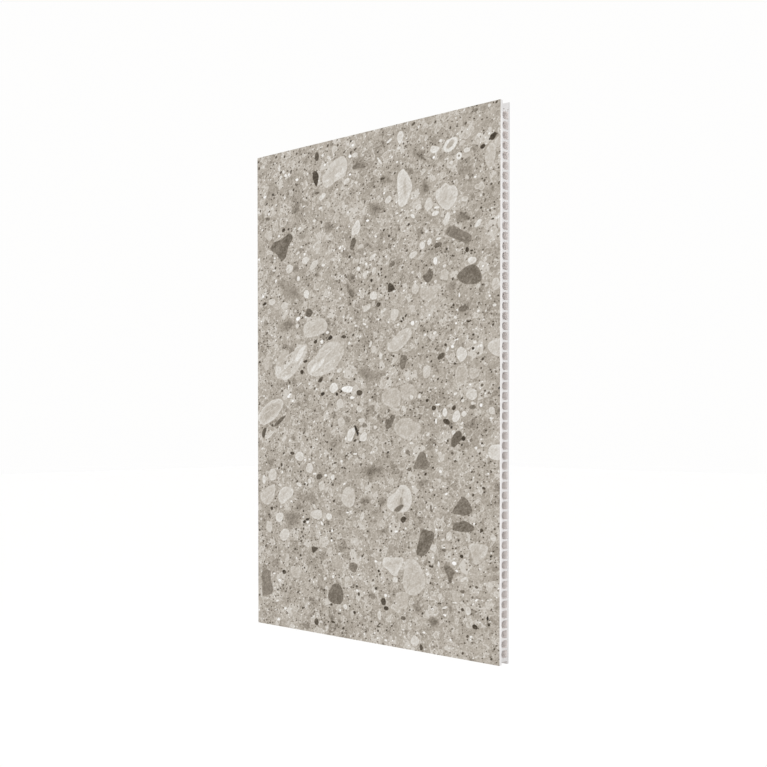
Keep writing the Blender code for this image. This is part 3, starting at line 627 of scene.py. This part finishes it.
# %% Lay out the points of the sheet
HALF_X = HALF_LENGTH / MM
HALF_Z = TOP_Z / MM
NET_STEP = 2.1
SMALLEST_INNER_RING = 0.35
WHOLE_NET = 0
SAME_PLACE = 1e-4

columns = round(2 * HALF_X / NET_STEP)
rows = round(2 * HALF_Z / NET_STEP)
sheet_points = [
    (-HALF_X + 2 * HALF_X * column / columns, -HALF_Z + 2 * HALF_Z * row / rows)
    for row in range(rows + 1)
    for column in range(columns + 1)
]
ring_edges = []
for ring, feather, _, crisp in stones:
    if not crisp:
        continue
    centre = ring.mean(axis=0)
    reach = np.hypot(*(ring - centre).T).min()
    inner = max(1 - feather / reach, SMALLEST_INNER_RING)
    for scale in (1, inner):
        kept = np.clip(centre + (ring - centre) * scale, (-HALF_X, -HALF_Z), (HALF_X, HALF_Z))
        first = len(sheet_points)
        sheet_points.extend(map(tuple, kept))
        ring_edges.extend((first + step, first + (step + 1) % len(kept)) for step in range(len(kept)))
net = delaunay_2d_cdt([Vector(place) for place in sheet_points], ring_edges, [], WHOLE_NET, SAME_PLACE)
net_places = np.array([tuple(place) for place in net[0]])
print("sheet:", len(net[0]), "points and", len(net[2]), "triangles")

# %% [markdown]
# Every point of the sheet then gets two numbers: how far a stone covers the ground there, and the stone's grey. The
# stones are laid over one another in drawing order. A crisp stone covers the ground fully inside its edge. A blurred
# patch rises smoothly from its border, and slow noise makes it thicker in some places than in others.

# %% Work out the stones' cover and grey at every point
PATCHY_SIZE = 3
PATCHY_STRENGTH = 0.5
TINY = 1e-12


def cover_inside(places, ring, feather):
    """0 outside the ring and on it, rising to 1 at the feather's depth inside."""
    step = np.roll(ring, -1, axis=0) - ring
    away = places[:, None] - ring
    along = np.clip((away * step).sum(2) / np.maximum((step ** 2).sum(1), TINY), 0, 1)
    gap = away - along[..., None] * step
    depth = np.hypot(gap[..., 0], gap[..., 1]).min(axis=1)
    ahead = ring + step
    straddles = (ring[:, 1] > places[:, 1:]) != (ahead[:, 1] > places[:, 1:])
    rise = np.where(step[:, 1] == 0, TINY, step[:, 1])
    crossing_x = ring[:, 0] + (places[:, 1:] - ring[:, 1]) * step[:, 0] / rise
    inside = (straddles & (places[:, :1] < crossing_x)).sum(axis=1) % 2 == 1
    return np.where(inside, np.clip(depth / feather, 0, 1), 0)


patchy = np.array([
    1 + PATCHY_STRENGTH * noise.noise((x / PATCHY_SIZE, z / PATCHY_SIZE, 0.5)) for x, z in net_places
])
stone_cover = np.zeros(len(net_places))
stone_grey = np.zeros(len(net_places))
for ring, feather, grey, crisp in stones:
    near = np.all((net_places > ring.min(axis=0)) & (net_places < ring.max(axis=0)), axis=1)
    share = cover_inside(net_places[near], ring, feather)
    if not crisp:
        share = np.clip(share * share * (3 - 2 * share) * patchy[near], 0, 1)
    stone_cover[near] += (1 - stone_cover[near]) * share
    stone_grey[near] += (grey / 255 - stone_grey[near]) * share
print(f"stones cover {stone_cover.mean():.0%} of the points")

# %% [markdown]
# The film is a thin sheet, so the front is drawn out at its border to the film's thickness and closed at the back.

# %% Build the film
model = bmesh.new()
cover_layer = model.verts.layers.float.new("stone_cover")
grey_layer = model.verts.layers.float.new("stone_grey")
sheet_verts = []
for (x, z), cover, grey in zip(net_places, stone_cover, stone_grey):
    vert = model.verts.new((x * MM, FACE_Y, z * MM))
    vert[cover_layer] = cover
    vert[grey_layer] = grey
    sheet_verts.append(vert)
for triangle in net[2]:
    model.faces.new([sheet_verts[corner] for corner in triangle])
border = [edge for edge in model.edges if edge.is_boundary]
drawn_out = bmesh.ops.extrude_edge_only(model, edges=border)["geom"]
back_verts = [item for item in drawn_out if isinstance(item, bmesh.types.BMVert)]
bmesh.ops.translate(model, verts=back_verts, vec=(0, film_high.y - FACE_Y, 0))
open_edges = [edge for edge in model.edges if edge.is_boundary]
bmesh.ops.holes_fill(model, edges=open_edges, sides=0)
bmesh.ops.recalc_face_normals(model, faces=model.faces)
film = link_mesh("decor_print", model)
print("film:", len(film.data.polygons), "faces, size", tuple(round(side / MM, 2) for side in film.dimensions))

# %% [markdown]
# ## Helpers for the finishes
# The finishes are node graphs. A few helpers keep them short: one makes a node group with its sockets, one joins a
# value or another node to a socket, and the others make the most used nodes. Positions are in millimetres.

# %% Node helpers


def new_group(name, inputs, outputs):
    """An empty shader node group; returns its tree, its input node and its output node."""
    tree = bpy.data.node_groups.new(name, "ShaderNodeTree")
    for socket_name, kind in inputs:
        tree.interface.new_socket(socket_name, in_out="INPUT", socket_type="NodeSocket" + kind)
    for socket_name, kind in outputs:
        tree.interface.new_socket(socket_name, in_out="OUTPUT", socket_type="NodeSocket" + kind)
    return tree, tree.nodes.new("NodeGroupInput"), tree.nodes.new("NodeGroupOutput")


def new_material(name):
    """A material with nodes; returns it, its tree and its Principled shader."""
    material = bpy.data.materials.new(name)
    material.use_nodes = True
    return material, material.node_tree, material.node_tree.nodes["Principled BSDF"]


def feed(tree, socket, value):
    """Puts a constant or another node's output into a socket."""
    if isinstance(value, bpy.types.NodeSocket):
        tree.links.new(value, socket)
    else:
        socket.default_value = value


def use_group(tree, group, **inputs):
    """Places a node group and feeds its inputs."""
    node = tree.nodes.new("ShaderNodeGroup")
    node.node_tree = group
    for name, value in inputs.items():
        feed(tree, node.inputs[name.replace("_", " ")], value)
    return node


def maths(tree, operation, *values):
    """One Math node; returns its result."""
    node = tree.nodes.new("ShaderNodeMath")
    node.operation = operation
    for socket, value in zip(node.inputs, values):
        feed(tree, socket, value)
    return node.outputs[0]


def added(tree, total, *values):
    """The sum of several values."""
    for value in values:
        total = maths(tree, "ADD", total, value)
    return total


def fit_range(tree, value, low, high, to_low=0.0, to_high=1.0):
    """Maps a value from one range to another and keeps it there."""
    node = tree.nodes.new("ShaderNodeMapRange")
    for socket, number in zip(node.inputs, (value, low, high, to_low, to_high)):
        feed(tree, socket, number)
    return node.outputs[0]


def scaled(tree, vector, factor):
    """A position or a colour times a number."""
    node = tree.nodes.new("ShaderNodeVectorMath")
    node.operation = "SCALE"
    feed(tree, node.inputs[0], vector)
    feed(tree, node.inputs["Scale"], factor)
    return node.outputs[0]


def split(tree, vector):
    """The X, Y and Z of a position."""
    node = tree.nodes.new("ShaderNodeSeparateXYZ")
    feed(tree, node.inputs[0], vector)
    return node.outputs[:]


def flat(tree, across, up):
    """A flat position from two coordinates, for textures that lie on a face."""
    node = tree.nodes.new("ShaderNodeCombineXYZ")
    feed(tree, node.inputs["X"], across)
    feed(tree, node.inputs["Y"], up)
    return node.outputs[0]


def stretched(tree, position, tilt, stretch):
    """Positions that make a texture longer along a direction, tilted in degrees."""
    node = tree.nodes.new("ShaderNodeMapping")
    node.vector_type = "TEXTURE"
    feed(tree, node.inputs["Vector"], position)
    node.inputs["Rotation"].default_value = (0, 0, math.radians(tilt))
    node.inputs["Scale"].default_value = (stretch, 1, 1)
    return node.outputs[0]


def cloud(tree, position, size, detail=2.0, distortion=0.0):
    """Noise with features of about the given size; its middle is 0.5."""
    node = tree.nodes.new("ShaderNodeTexNoise")
    node.noise_dimensions = "2D"
    feed(tree, node.inputs["Vector"], position)
    node.inputs["Scale"].default_value = 1 / size
    node.inputs["Detail"].default_value = detail
    node.inputs["Distortion"].default_value = distortion
    return node.outputs[0]


def linear(level):
    """The linear value of a display level from 0 to 255."""
    value = level / 255
    return value / 12.92 if value <= 0.04045 else ((value + 0.055) / 1.055) ** 2.4


def colour_ramp(tree, value, stops):
    """The colour at a value, from rising stops (position, colour)."""
    node = tree.nodes.new("ShaderNodeValToRGB")
    elements = node.color_ramp.elements
    elements[0].position, elements[-1].position = stops[0][0], stops[-1][0]
    for position, _ in stops[1:-1]:
        elements.new(position)
    for element, (_, colour) in zip(elements, stops):
        element.color = colour
    feed(tree, node.inputs["Fac"], value)
    return node.outputs["Color"]


def mixed(tree, share, first, second):
    """A colour between two others."""
    node = tree.nodes.new("ShaderNodeMix")
    node.data_type = "RGBA"
    feed(tree, node.inputs["Factor"], share)
    for socket, colour in zip((socket for socket in node.inputs if socket.type == "RGBA"), (first, second)):
        feed(tree, socket, colour)
    return next(socket for socket in node.outputs if socket.type == "RGBA")


print("mid grey 128 is", round(linear(128), 3), "in linear light")

# %% [markdown]
# ## Specks
# The sand holds hard-edged grains, darker and paler than the rest. A Voronoi texture scatters one spot per cell, and
# each cell's random colour says whether the spot is there and how big it is.

# %% The specks group
SMALLEST_SPECK = 0.4
SPECK_EDGE = 0.65


def scattered_spots(tree, position, spacing):
    """One spot per cell: the distance to it in spacings, and three random numbers of its own."""
    spots = tree.nodes.new("ShaderNodeTexVoronoi")
    spots.voronoi_dimensions = "2D"
    feed(tree, spots.inputs["Vector"], position)
    feed(tree, spots.inputs["Scale"], maths(tree, "DIVIDE", 1.0, spacing))
    luck = tree.nodes.new("ShaderNodeSeparateColor")
    feed(tree, luck.inputs[0], spots.outputs["Color"])
    return spots.outputs["Distance"], luck.outputs["Red"], luck.outputs["Green"], luck.outputs["Blue"]


specks, given, result = new_group(
    "specks",
    [("Position", "Vector"), ("Spacing", "Float"), ("Size", "Float"), ("Share", "Float")],
    [("Mask", "Float")],
)
distance, luck, size_luck, _ = scattered_spots(specks, given.outputs["Position"], given.outputs["Spacing"])
present = maths(specks, "LESS_THAN", luck, given.outputs["Share"])
own_size = maths(specks, "MULTIPLY", given.outputs["Size"], maths(specks, "ADD", SMALLEST_SPECK, size_luck))
reach = maths(specks, "DIVIDE", own_size, given.outputs["Spacing"])
spot = fit_range(specks, distance, reach, maths(specks, "MULTIPLY", reach, SPECK_EDGE))
feed(specks, result.inputs["Mask"], maths(specks, "MULTIPLY", spot, present))
print("specks group with", len(specks.nodes), "nodes")

# %% [markdown]
# ## Faint pebbles
# Between the clear stones the ground is full of pebbles that hardly differ from it and show mostly by a thin paler
# rim. The same kind of spots does it, with a rim at the spot's edge and a slightly different grey inside. The
# positions are pushed about by noise first, so that the pebbles aren't round.

# %% The faint pebbles group
PUSH_SCALE, PUSH_DETAIL, PUSH_REACH = 0.25, 0.5, 5.0
FAINT_SHARE = 0.75
FAINT_SMALLEST, FAINT_SIZE_SPREAD = 0.20, 0.28
FAINT_EDGE = 0.03
RIM_INSIDE, RIM_PEAK = 0.12, 0.04
FILL_SPREAD = 0.20
RIM_LIFT = 0.12

faint, given, result = new_group(
    "faint_pebbles", [("Position", "Vector"), ("Spacing", "Float")], [("Shift", "Float")]
)
push = faint.nodes.new("ShaderNodeTexNoise")
push.noise_dimensions = "2D"
feed(faint, push.inputs["Vector"], given.outputs["Position"])
push.inputs["Scale"].default_value = PUSH_SCALE
push.inputs["Detail"].default_value = PUSH_DETAIL
pushed = faint.nodes.new("ShaderNodeVectorMath")
pushed.operation = "MULTIPLY_ADD"
feed(faint, pushed.inputs[0], push.outputs["Color"])
pushed.inputs[1].default_value = (PUSH_REACH, PUSH_REACH, 0.0)
feed(faint, pushed.inputs[2], given.outputs["Position"])
distance, luck, size_luck, fill_luck = scattered_spots(faint, pushed.outputs[0], given.outputs["Spacing"])
present = maths(faint, "LESS_THAN", luck, FAINT_SHARE)
reach = maths(faint, "MULTIPLY_ADD", size_luck, FAINT_SIZE_SPREAD, FAINT_SMALLEST)
inside = fit_range(faint, distance, reach, maths(faint, "SUBTRACT", reach, FAINT_EDGE))
rim = fit_range(
    faint, distance, maths(faint, "SUBTRACT", reach, RIM_INSIDE), maths(faint, "SUBTRACT", reach, RIM_PEAK)
)
fill_shift = maths(faint, "MULTIPLY_ADD", fill_luck, FILL_SPREAD, -FILL_SPREAD / 2)
rim_shift = maths(faint, "MULTIPLY", rim, RIM_LIFT)
shift = maths(faint, "MULTIPLY", inside, maths(faint, "ADD", fill_shift, rim_shift))
feed(faint, result.inputs["Shift"], maths(faint, "MULTIPLY", shift, present))
print("faint pebbles group with", len(faint.nodes), "nodes")

# %% [markdown]
# ## The sandy ground
# The ground between the stones is layered: slow clouds, drifts and streaks that lean up to the right, sand grains,
# faint pebbles of three sizes, and the specks. Each layer is a texture of its own size, and they add up to one grey.
# The group also gives the grain alone and a few thin wavering veins, which the stones use.

# %% The sandy ground group
GROUND_GREY = 167 / 255
# Size, tilt, stretch, strength, detail; the first layer is too slow to count as grain
LAYERS = [(24.0, 20, 1.3, 0.15, 1.0), (8.0, 30, 1.4, 0.10, 2.0), (3.0, 30, 1.5, 0.15, 2.0), (1.3, 25, 1.4, 0.27, 2.0)]
LAYER_DISTORTION = 0.2
# Spacing, tilt, stretch
FAINT_LAYERS = [(11.0, 20, 1.3), (6.5, 60, 1.2), (3.6, 0, 1.3)]
FAINT_CEILING = 204 / 255
# Spacing, size, share, shift, tilt: two layers of dark specks and two of pale ones
SPECK_LAYERS = [
    (2.6, 0.55, 0.38, -0.30, 10),
    (7.0, 0.80, 0.36, -0.36, 35),
    (3.1, 0.55, 0.34, 0.15, 30),
    (7.5, 1.00, 0.34, 0.18, 15),
]
SPECK_STRETCH = 1.4
# Size, tilt, stretch, strength: dark veins and pale ones
VEIN_LAYERS = [(7.0, 35, 2.6, -0.05), (5.0, 25, 3.0, 0.045)]
VEIN_DETAIL, VEIN_DISTORTION, VEIN_WIDTH = 3.0, 0.6, 0.035

ground, given, result = new_group(
    "sandy_ground",
    [("Position", "Vector")],
    [("Grey", "Float"), ("Grain", "Float"), ("Veins", "Float")],
)
place = given.outputs["Position"]
swings = []
for size, tilt, stretch, strength, detail in LAYERS:
    layer = cloud(ground, stretched(ground, place, tilt, stretch), size, detail, LAYER_DISTORTION)
    swings.append(maths(ground, "MULTIPLY_ADD", layer, strength, -strength / 2))
grey = added(ground, *swings, GROUND_GREY)
for spacing, tilt, stretch in FAINT_LAYERS:
    spread = stretched(ground, place, tilt, stretch)
    grey = added(ground, grey, use_group(ground, faint, Position=spread, Spacing=spacing).outputs["Shift"])
grey = maths(ground, "MINIMUM", grey, FAINT_CEILING)
for spacing, size, share, shift, tilt in SPECK_LAYERS:
    spread = stretched(ground, place, tilt, SPECK_STRETCH)
    mask = use_group(ground, specks, Position=spread, Spacing=spacing, Size=size, Share=share).outputs["Mask"]
    grey = added(ground, grey, maths(ground, "MULTIPLY", mask, shift))
veins = []
for size, tilt, stretch, strength in VEIN_LAYERS:
    layer = cloud(ground, stretched(ground, place, tilt, stretch), size, VEIN_DETAIL, VEIN_DISTORTION)
    waver = maths(ground, "SUBTRACT", layer, 0.5)
    veins.append(fit_range(ground, maths(ground, "ABSOLUTE", waver), 0.0, VEIN_WIDTH, strength, 0.0))
feed(ground, result.inputs["Grey"], grey)
feed(ground, result.inputs["Grain"], added(ground, *swings[1:]))
feed(ground, result.inputs["Veins"], added(ground, *veins))
print("ground group with", len(ground.nodes), "nodes")

# %% [markdown]
# ## The print's colours
# The whole print runs through a few warm greys: dark stones are brownish, pale ones almost neutral. One colour ramp
# turns the grey into the colour. The ramp's colours are the ones seen, less the film's own sheen.

# %% The stone palette group
SHEEN = 0.024
LIGHT_ON_FACE = 1.04
FULL_WARMTH_FALL = 80
RED_SHIFT, GREEN_SHIFT, BLUE_SHIFT = 9.3, 1, -10.3


def warm_grey(level):
    """The colour of the print at a grey level, in linear light."""
    warmth = min((255 - level) / FULL_WARMTH_FALL, 1)
    seen = (level + RED_SHIFT * warmth, level + GREEN_SHIFT, level + BLUE_SHIFT * warmth)
    return [max(linear(min(channel, 255)) - SHEEN, 0.0) / LIGHT_ON_FACE for channel in seen] + [1.0]


palette, given, result = new_group("stone_palette", [("Grey", "Float")], [("Colour", "Color")])
levels = range(30, 256, 25)
stops = [(level / 255, warm_grey(level)) for level in levels]
feed(palette, result.inputs["Colour"], colour_ramp(palette, given.outputs["Grey"], stops))
print("palette from", levels[0], "to", levels[-1])

# %% [markdown]
# ## The printed film's material
# The stones' cover and grey come from the mesh. The ground fills the rest, and the grain and the veins run over the
# stones too, because the print's sand lies over everything. They are weaker on pale stones than on dark ones. The film
# is matt, with a fine embossing.

# %% The stone print material
LIVELINESS = (0.40, 0.80, 1.1, 0.65)
FILM_ROUGHNESS, FILM_SPECULAR = 0.5, 0.35
EMBOSS_SIZE, EMBOSS_STRENGTH, EMBOSS_DEPTH = 0.35, 0.25, 0.03 * MM


def attribute(tree, name):
    """A number stored on the mesh."""
    node = tree.nodes.new("ShaderNodeAttribute")
    node.attribute_name = name
    return node.outputs["Fac"]


def position_in_mm(tree):
    """The object's own coordinates in millimetres, and its normal."""
    coordinates = tree.nodes.new("ShaderNodeTexCoord")
    return scaled(tree, coordinates.outputs["Object"], 1 / MM), coordinates.outputs["Normal"]


def add_bump(tree, shader, height, strength, distance):
    """Raises the shader's surface by a height."""
    bump = tree.nodes.new("ShaderNodeBump")
    bump.inputs["Strength"].default_value = strength
    bump.inputs["Distance"].default_value = distance
    feed(tree, bump.inputs["Height"], height)
    feed(tree, shader.inputs["Normal"], bump.outputs[0])


stone_print, tree, shader = new_material("stone_print")
position, _ = position_in_mm(tree)
x, _, z = split(tree, position)
face_place = flat(tree, x, z)
sand = use_group(tree, ground, Position=face_place)
cover = attribute(tree, "stone_cover")
stone_tone = attribute(tree, "stone_grey")
mottle = maths(tree, "MULTIPLY", sand.outputs["Grain"], fit_range(tree, stone_tone, *LIVELINESS))
stone_texture = maths(tree, "MULTIPLY", added(tree, mottle, sand.outputs["Veins"]), cover)
open_ground = maths(tree, "MULTIPLY", sand.outputs["Grey"], maths(tree, "SUBTRACT", 1.0, cover))
stone_part = added(tree, stone_tone, stone_texture)
colour = use_group(tree, palette, Grey=added(tree, open_ground, stone_part)).outputs["Colour"]
feed(tree, shader.inputs["Base Color"], colour)
shader.inputs["Roughness"].default_value = FILM_ROUGHNESS
shader.inputs["Specular IOR Level"].default_value = FILM_SPECULAR
add_bump(tree, shader, cloud(tree, face_place, EMBOSS_SIZE), EMBOSS_STRENGTH, EMBOSS_DEPTH)
film.data.materials.append(stone_print)
print("print material with", len(tree.nodes), "nodes")

# %% [markdown]
# ## The white plastic
# The extrusion is white PVC, satin where the die polished it and matt where the saw cut it, with fine saw marks. On
# the cut ends the colour carries painted light and shade: the thick front wall is painted whitest and the thin back
# wall greyer, both are painted a little darker at the bottom, and the front wall is painted darker too where the top
# lip stands free. Inside the panel the skin takes a warm tint from cell to cell. It has painted shade in the narrow
# groove and painted light in the upper cells.

# %% The cut end group
# Depth from the face as a share, and the level seen there; the fall from front to back is painted shade
WALL_WHITES_WITH_PAINTED_SHADE = [(0.0, 241), (0.12, 238), (0.22, 228), (0.34, 218), (0.8, 220), (1.0, 209)]
WALL_TINT = (1.5, -0.5, -1)
END_SHEEN = 0.03
SAWN_FROM, SAWN_TO = 0.6, 0.9
SAW_TILT, SAW_STRETCH, SAW_MARK_SIZE = 25, 6.0, 0.35
PATCH_SIZE, PATCH_SWING = 6.0, 0.2
SKIN_FROM_Y, SKIN_TO_Y = -0.8, -1.3
BACK_SKIN, CELL_SKIN = (0.82, 0.812, 0.80, 1.0), (0.925, 0.88, 0.86, 1.0)
# Painted shade on the inner skin in the narrow groove
GROOVE_EDGE, GROOVE_SHADE = 0.2, -0.45
# Painted light: the inner skin a little lighter in the upper cells
UPPER_CELLS_PAINTED_LIGHT = (70.0, 140.0, 1.0, 1.035)
# Painted shade: the cut end's walls darker towards the bottom
LOW_END_PAINTED_SHADE = (-168.0, -181.0, 0.0, 0.10)
# Painted shade on the cut end's front wall beside the free top lip
LIP_PAINTED_SHADE, LIP_PAINTED_SHADE_DEPTHS = (178.0, 183.0, 0.0, 0.12), (0.3, 0.2)

cut_end, given, result = new_group(
    "cut_end",
    [("Position", "Vector"), ("Normal", "Vector")],
    [("Colour", "Color"), ("Sawn", "Float"), ("Marks", "Float")],
)
_, y, z = split(cut_end, given.outputs["Position"])
sideways, _, _ = split(cut_end, given.outputs["Normal"])
sawn = fit_range(cut_end, maths(cut_end, "ABSOLUTE", sideways), SAWN_FROM, SAWN_TO)
end_place = flat(cut_end, y, z)
marks = cloud(cut_end, stretched(cut_end, end_place, SAW_TILT, SAW_STRETCH), SAW_MARK_SIZE)
patches = maths(cut_end, "MULTIPLY_ADD", cloud(cut_end, end_place, PATCH_SIZE), PATCH_SWING, -PATCH_SWING / 2)
depth = fit_range(cut_end, y, FACE_Y / MM, BACK_Y / MM)
stops = [
    (share, [linear(level + tint) - END_SHEEN for tint in WALL_TINT] + [1.0]) for share, level in WALL_WHITES_WITH_PAINTED_SHADE
]
# Painted light and shade: the cut end's white falls from the front wall to the back wall
wall_white_with_painted_shade = colour_ramp(cut_end, added(cut_end, depth, patches), stops)
# Painted shade on the cut end's walls: darker towards the bottom and beside the free top lip
painted_low_shade = fit_range(cut_end, z, *LOW_END_PAINTED_SHADE)
painted_lip_shade = maths(cut_end, "MULTIPLY", fit_range(cut_end, z, *LIP_PAINTED_SHADE), fit_range(cut_end, depth, *LIP_PAINTED_SHADE_DEPTHS))
painted_wall_light = maths(cut_end, "SUBTRACT", maths(cut_end, "SUBTRACT", 1.0, painted_low_shade), painted_lip_shade)
off_back = fit_range(cut_end, y, SKIN_FROM_Y, SKIN_TO_Y)
skin_tone = mixed(cut_end, off_back, BACK_SKIN, CELL_SKIN)
# Painted shade on the inner skin inside the groove
in_groove = fit_range(cut_end, z, GROOVE_Z / MM + GROOVE_EDGE, GROOVE_Z / MM - GROOVE_EDGE)
groove_painted_shade_mask = maths(cut_end, "MULTIPLY", in_groove, off_back)
# Painted light in the upper cells and painted shade in the groove, on the inner skin
painted_skin_light = maths(cut_end, "MULTIPLY_ADD", groove_painted_shade_mask, GROOVE_SHADE, fit_range(cut_end, z, *UPPER_CELLS_PAINTED_LIGHT))
colour = mixed(cut_end, sawn, scaled(cut_end, skin_tone, painted_skin_light), scaled(cut_end, wall_white_with_painted_shade, painted_wall_light))
feed(cut_end, result.inputs["Colour"], colour)
feed(cut_end, result.inputs["Sawn"], sawn)
feed(cut_end, result.inputs["Marks"], marks)
print("cut end group with", len(cut_end.nodes), "nodes")

# %% [markdown]
# The back shows each web as a faint sunken line. These lines repeat with the cells' pitch: a triangle wave in Z,
# squeezed to a narrow band, gives the bump its height there. Fine die lines run along the panel, and the saw marks
# take their place on the cut ends.

# %% The white plastic material
SATIN, SAWN_MATT = 0.36, 0.6
SINK_WIDTH = 0.16
SINK_SHARE, DIE_LINE_SHARE = 0.7, 0.3
DIE_LINE_STRETCH, DIE_LINE_SIZE = 400.0, 0.8
RELIEF_STRENGTH, RELIEF_DEPTH = 0.5, 0.05 * MM

white_pvc, tree, shader = new_material("white_pvc")
position, normal = position_in_mm(tree)
ends = use_group(tree, cut_end, Position=position, Normal=normal)
feed(tree, shader.inputs["Base Color"], ends.outputs["Colour"])
feed(tree, shader.inputs["Roughness"], fit_range(tree, ends.outputs["Sawn"], 0.0, 1.0, SATIN, SAWN_MATT))
x, _, z = split(tree, position)
web_z = (FIRST_CELL_TOP_Z + WEB / 2) / MM
turn = maths(tree, "DIVIDE", maths(tree, "SUBTRACT", z, web_z), PITCH / MM)
sink = fit_range(tree, maths(tree, "PINGPONG", turn, 0.5), 0.0, SINK_WIDTH)
die_lines = cloud(tree, stretched(tree, flat(tree, x, z), 0, DIE_LINE_STRETCH), DIE_LINE_SIZE)
skin = added(
    tree, maths(tree, "MULTIPLY", sink, SINK_SHARE), maths(tree, "MULTIPLY", die_lines, DIE_LINE_SHARE)
)
sawn_part = maths(tree, "MULTIPLY", ends.outputs["Sawn"], maths(tree, "SUBTRACT", ends.outputs["Marks"], skin))
add_bump(tree, shader, added(tree, skin, sawn_part), RELIEF_STRENGTH, RELIEF_DEPTH)
extrusion.data.materials.append(white_pvc)
print("plastic material with", len(tree.nodes), "nodes")

# %% [markdown]
# ## Joining the pieces to the frame
# Both pieces take the place of their CAD nodes and move with the one body.

# %% Tie the pieces to the part
for piece, node_name, slot_name in (
    (extrusion, "hollow_core_panel", "white_pvc"),
    (film, "decor_film", "stone_print"),
):
    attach(piece, "root")
    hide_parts(node_name)
print("pieces ride on the root body")

# %% [markdown]
# ## The studio
# The panel is shown in front of plain white, in soft light from all round. A nearly white world lights it evenly, and
# two large area lamps make the front and the cut end a little brighter. The floor is pale and lies well below.

# %% World, lamps and floor
WORLD_COLOUR, WORLD_STRENGTH = (1.0, 0.998, 0.995, 1.0), 0.99
FLOOR_COLOUR, FLOOR_ROUGHNESS = (0.95, 0.948, 0.945, 1.0), 0.8
FLOOR_GLOW = 0.06
FLOOR_Z, FLOOR_REACH = -0.6, 12

world = bpy.data.worlds.new("studio")
bpy.context.scene.world = world
world.use_nodes = True
backdrop = world.node_tree.nodes["Background"]
backdrop.inputs["Color"].default_value = WORLD_COLOUR
backdrop.inputs["Strength"].default_value = WORLD_STRENGTH


def area_lamp(name, place, size, watts):
    """A soft square lamp that faces the panel."""
    lamp = bpy.data.lights.new(name, "AREA")
    lamp.size = size
    lamp.energy = watts
    holder = bpy.data.objects.new(name, lamp)
    holder.location = place
    holder.rotation_euler = (-Vector(place)).to_track_quat("-Z", "Y").to_euler()
    bpy.context.scene.collection.objects.link(holder)


area_lamp("key", place=(-0.9, -2.4, 1.5), size=1.8, watts=5.0)
area_lamp("side", place=(2.6, -0.7, 0.9), size=1.6, watts=4.0)
model = bmesh.new()
below = Matrix.Translation((0, 0, FLOOR_Z))
bmesh.ops.create_grid(model, x_segments=1, y_segments=1, size=FLOOR_REACH, matrix=below)
floor = link_mesh("floor", model)
pale_floor, _, shader = new_material("pale_floor")
shader.inputs["Base Color"].default_value = FLOOR_COLOUR
shader.inputs["Roughness"].default_value = FLOOR_ROUGHNESS
shader.inputs["Emission Color"].default_value = (1.0, 1.0, 1.0, 1.0)
shader.inputs["Emission Strength"].default_value = FLOOR_GLOW
floor.data.materials.append(pale_floor)
print("world at", WORLD_STRENGTH)

# %% [markdown]
# ## The camera
# The photo was taken from the front right, a little below the panel's middle, with the picture shifted upwards. The
# camera's place and lens come from fitting the panel's corners.

# %% Camera
PHOTO_SIDE = 767
FOCAL_PIXELS = 1193.3
AXIS_ROW = 448.94
SENSOR_MM = 36.0
CAMERA_PLACE = (0.6239, -0.6284, -0.0261)
DOWNWARD_TILT, TURN_LEFT = 1.224, 44.451

lens = bpy.data.cameras.new("photo_view")
lens.sensor_width = SENSOR_MM
lens.lens = FOCAL_PIXELS / PHOTO_SIDE * SENSOR_MM
lens.shift_y = (AXIS_ROW - PHOTO_SIDE / 2) / PHOTO_SIDE
camera = bpy.data.objects.new("photo_view", lens)
camera.location = CAMERA_PLACE
camera.rotation_euler = (math.radians(90 - DOWNWARD_TILT), 0, math.radians(TURN_LEFT))
bpy.context.scene.collection.objects.link(camera)
bpy.context.scene.camera = camera
bpy.context.scene.view_settings.view_transform = "Standard"
print(f"lens {lens.lens:.2f} mm, shift {lens.shift_y:.4f}")
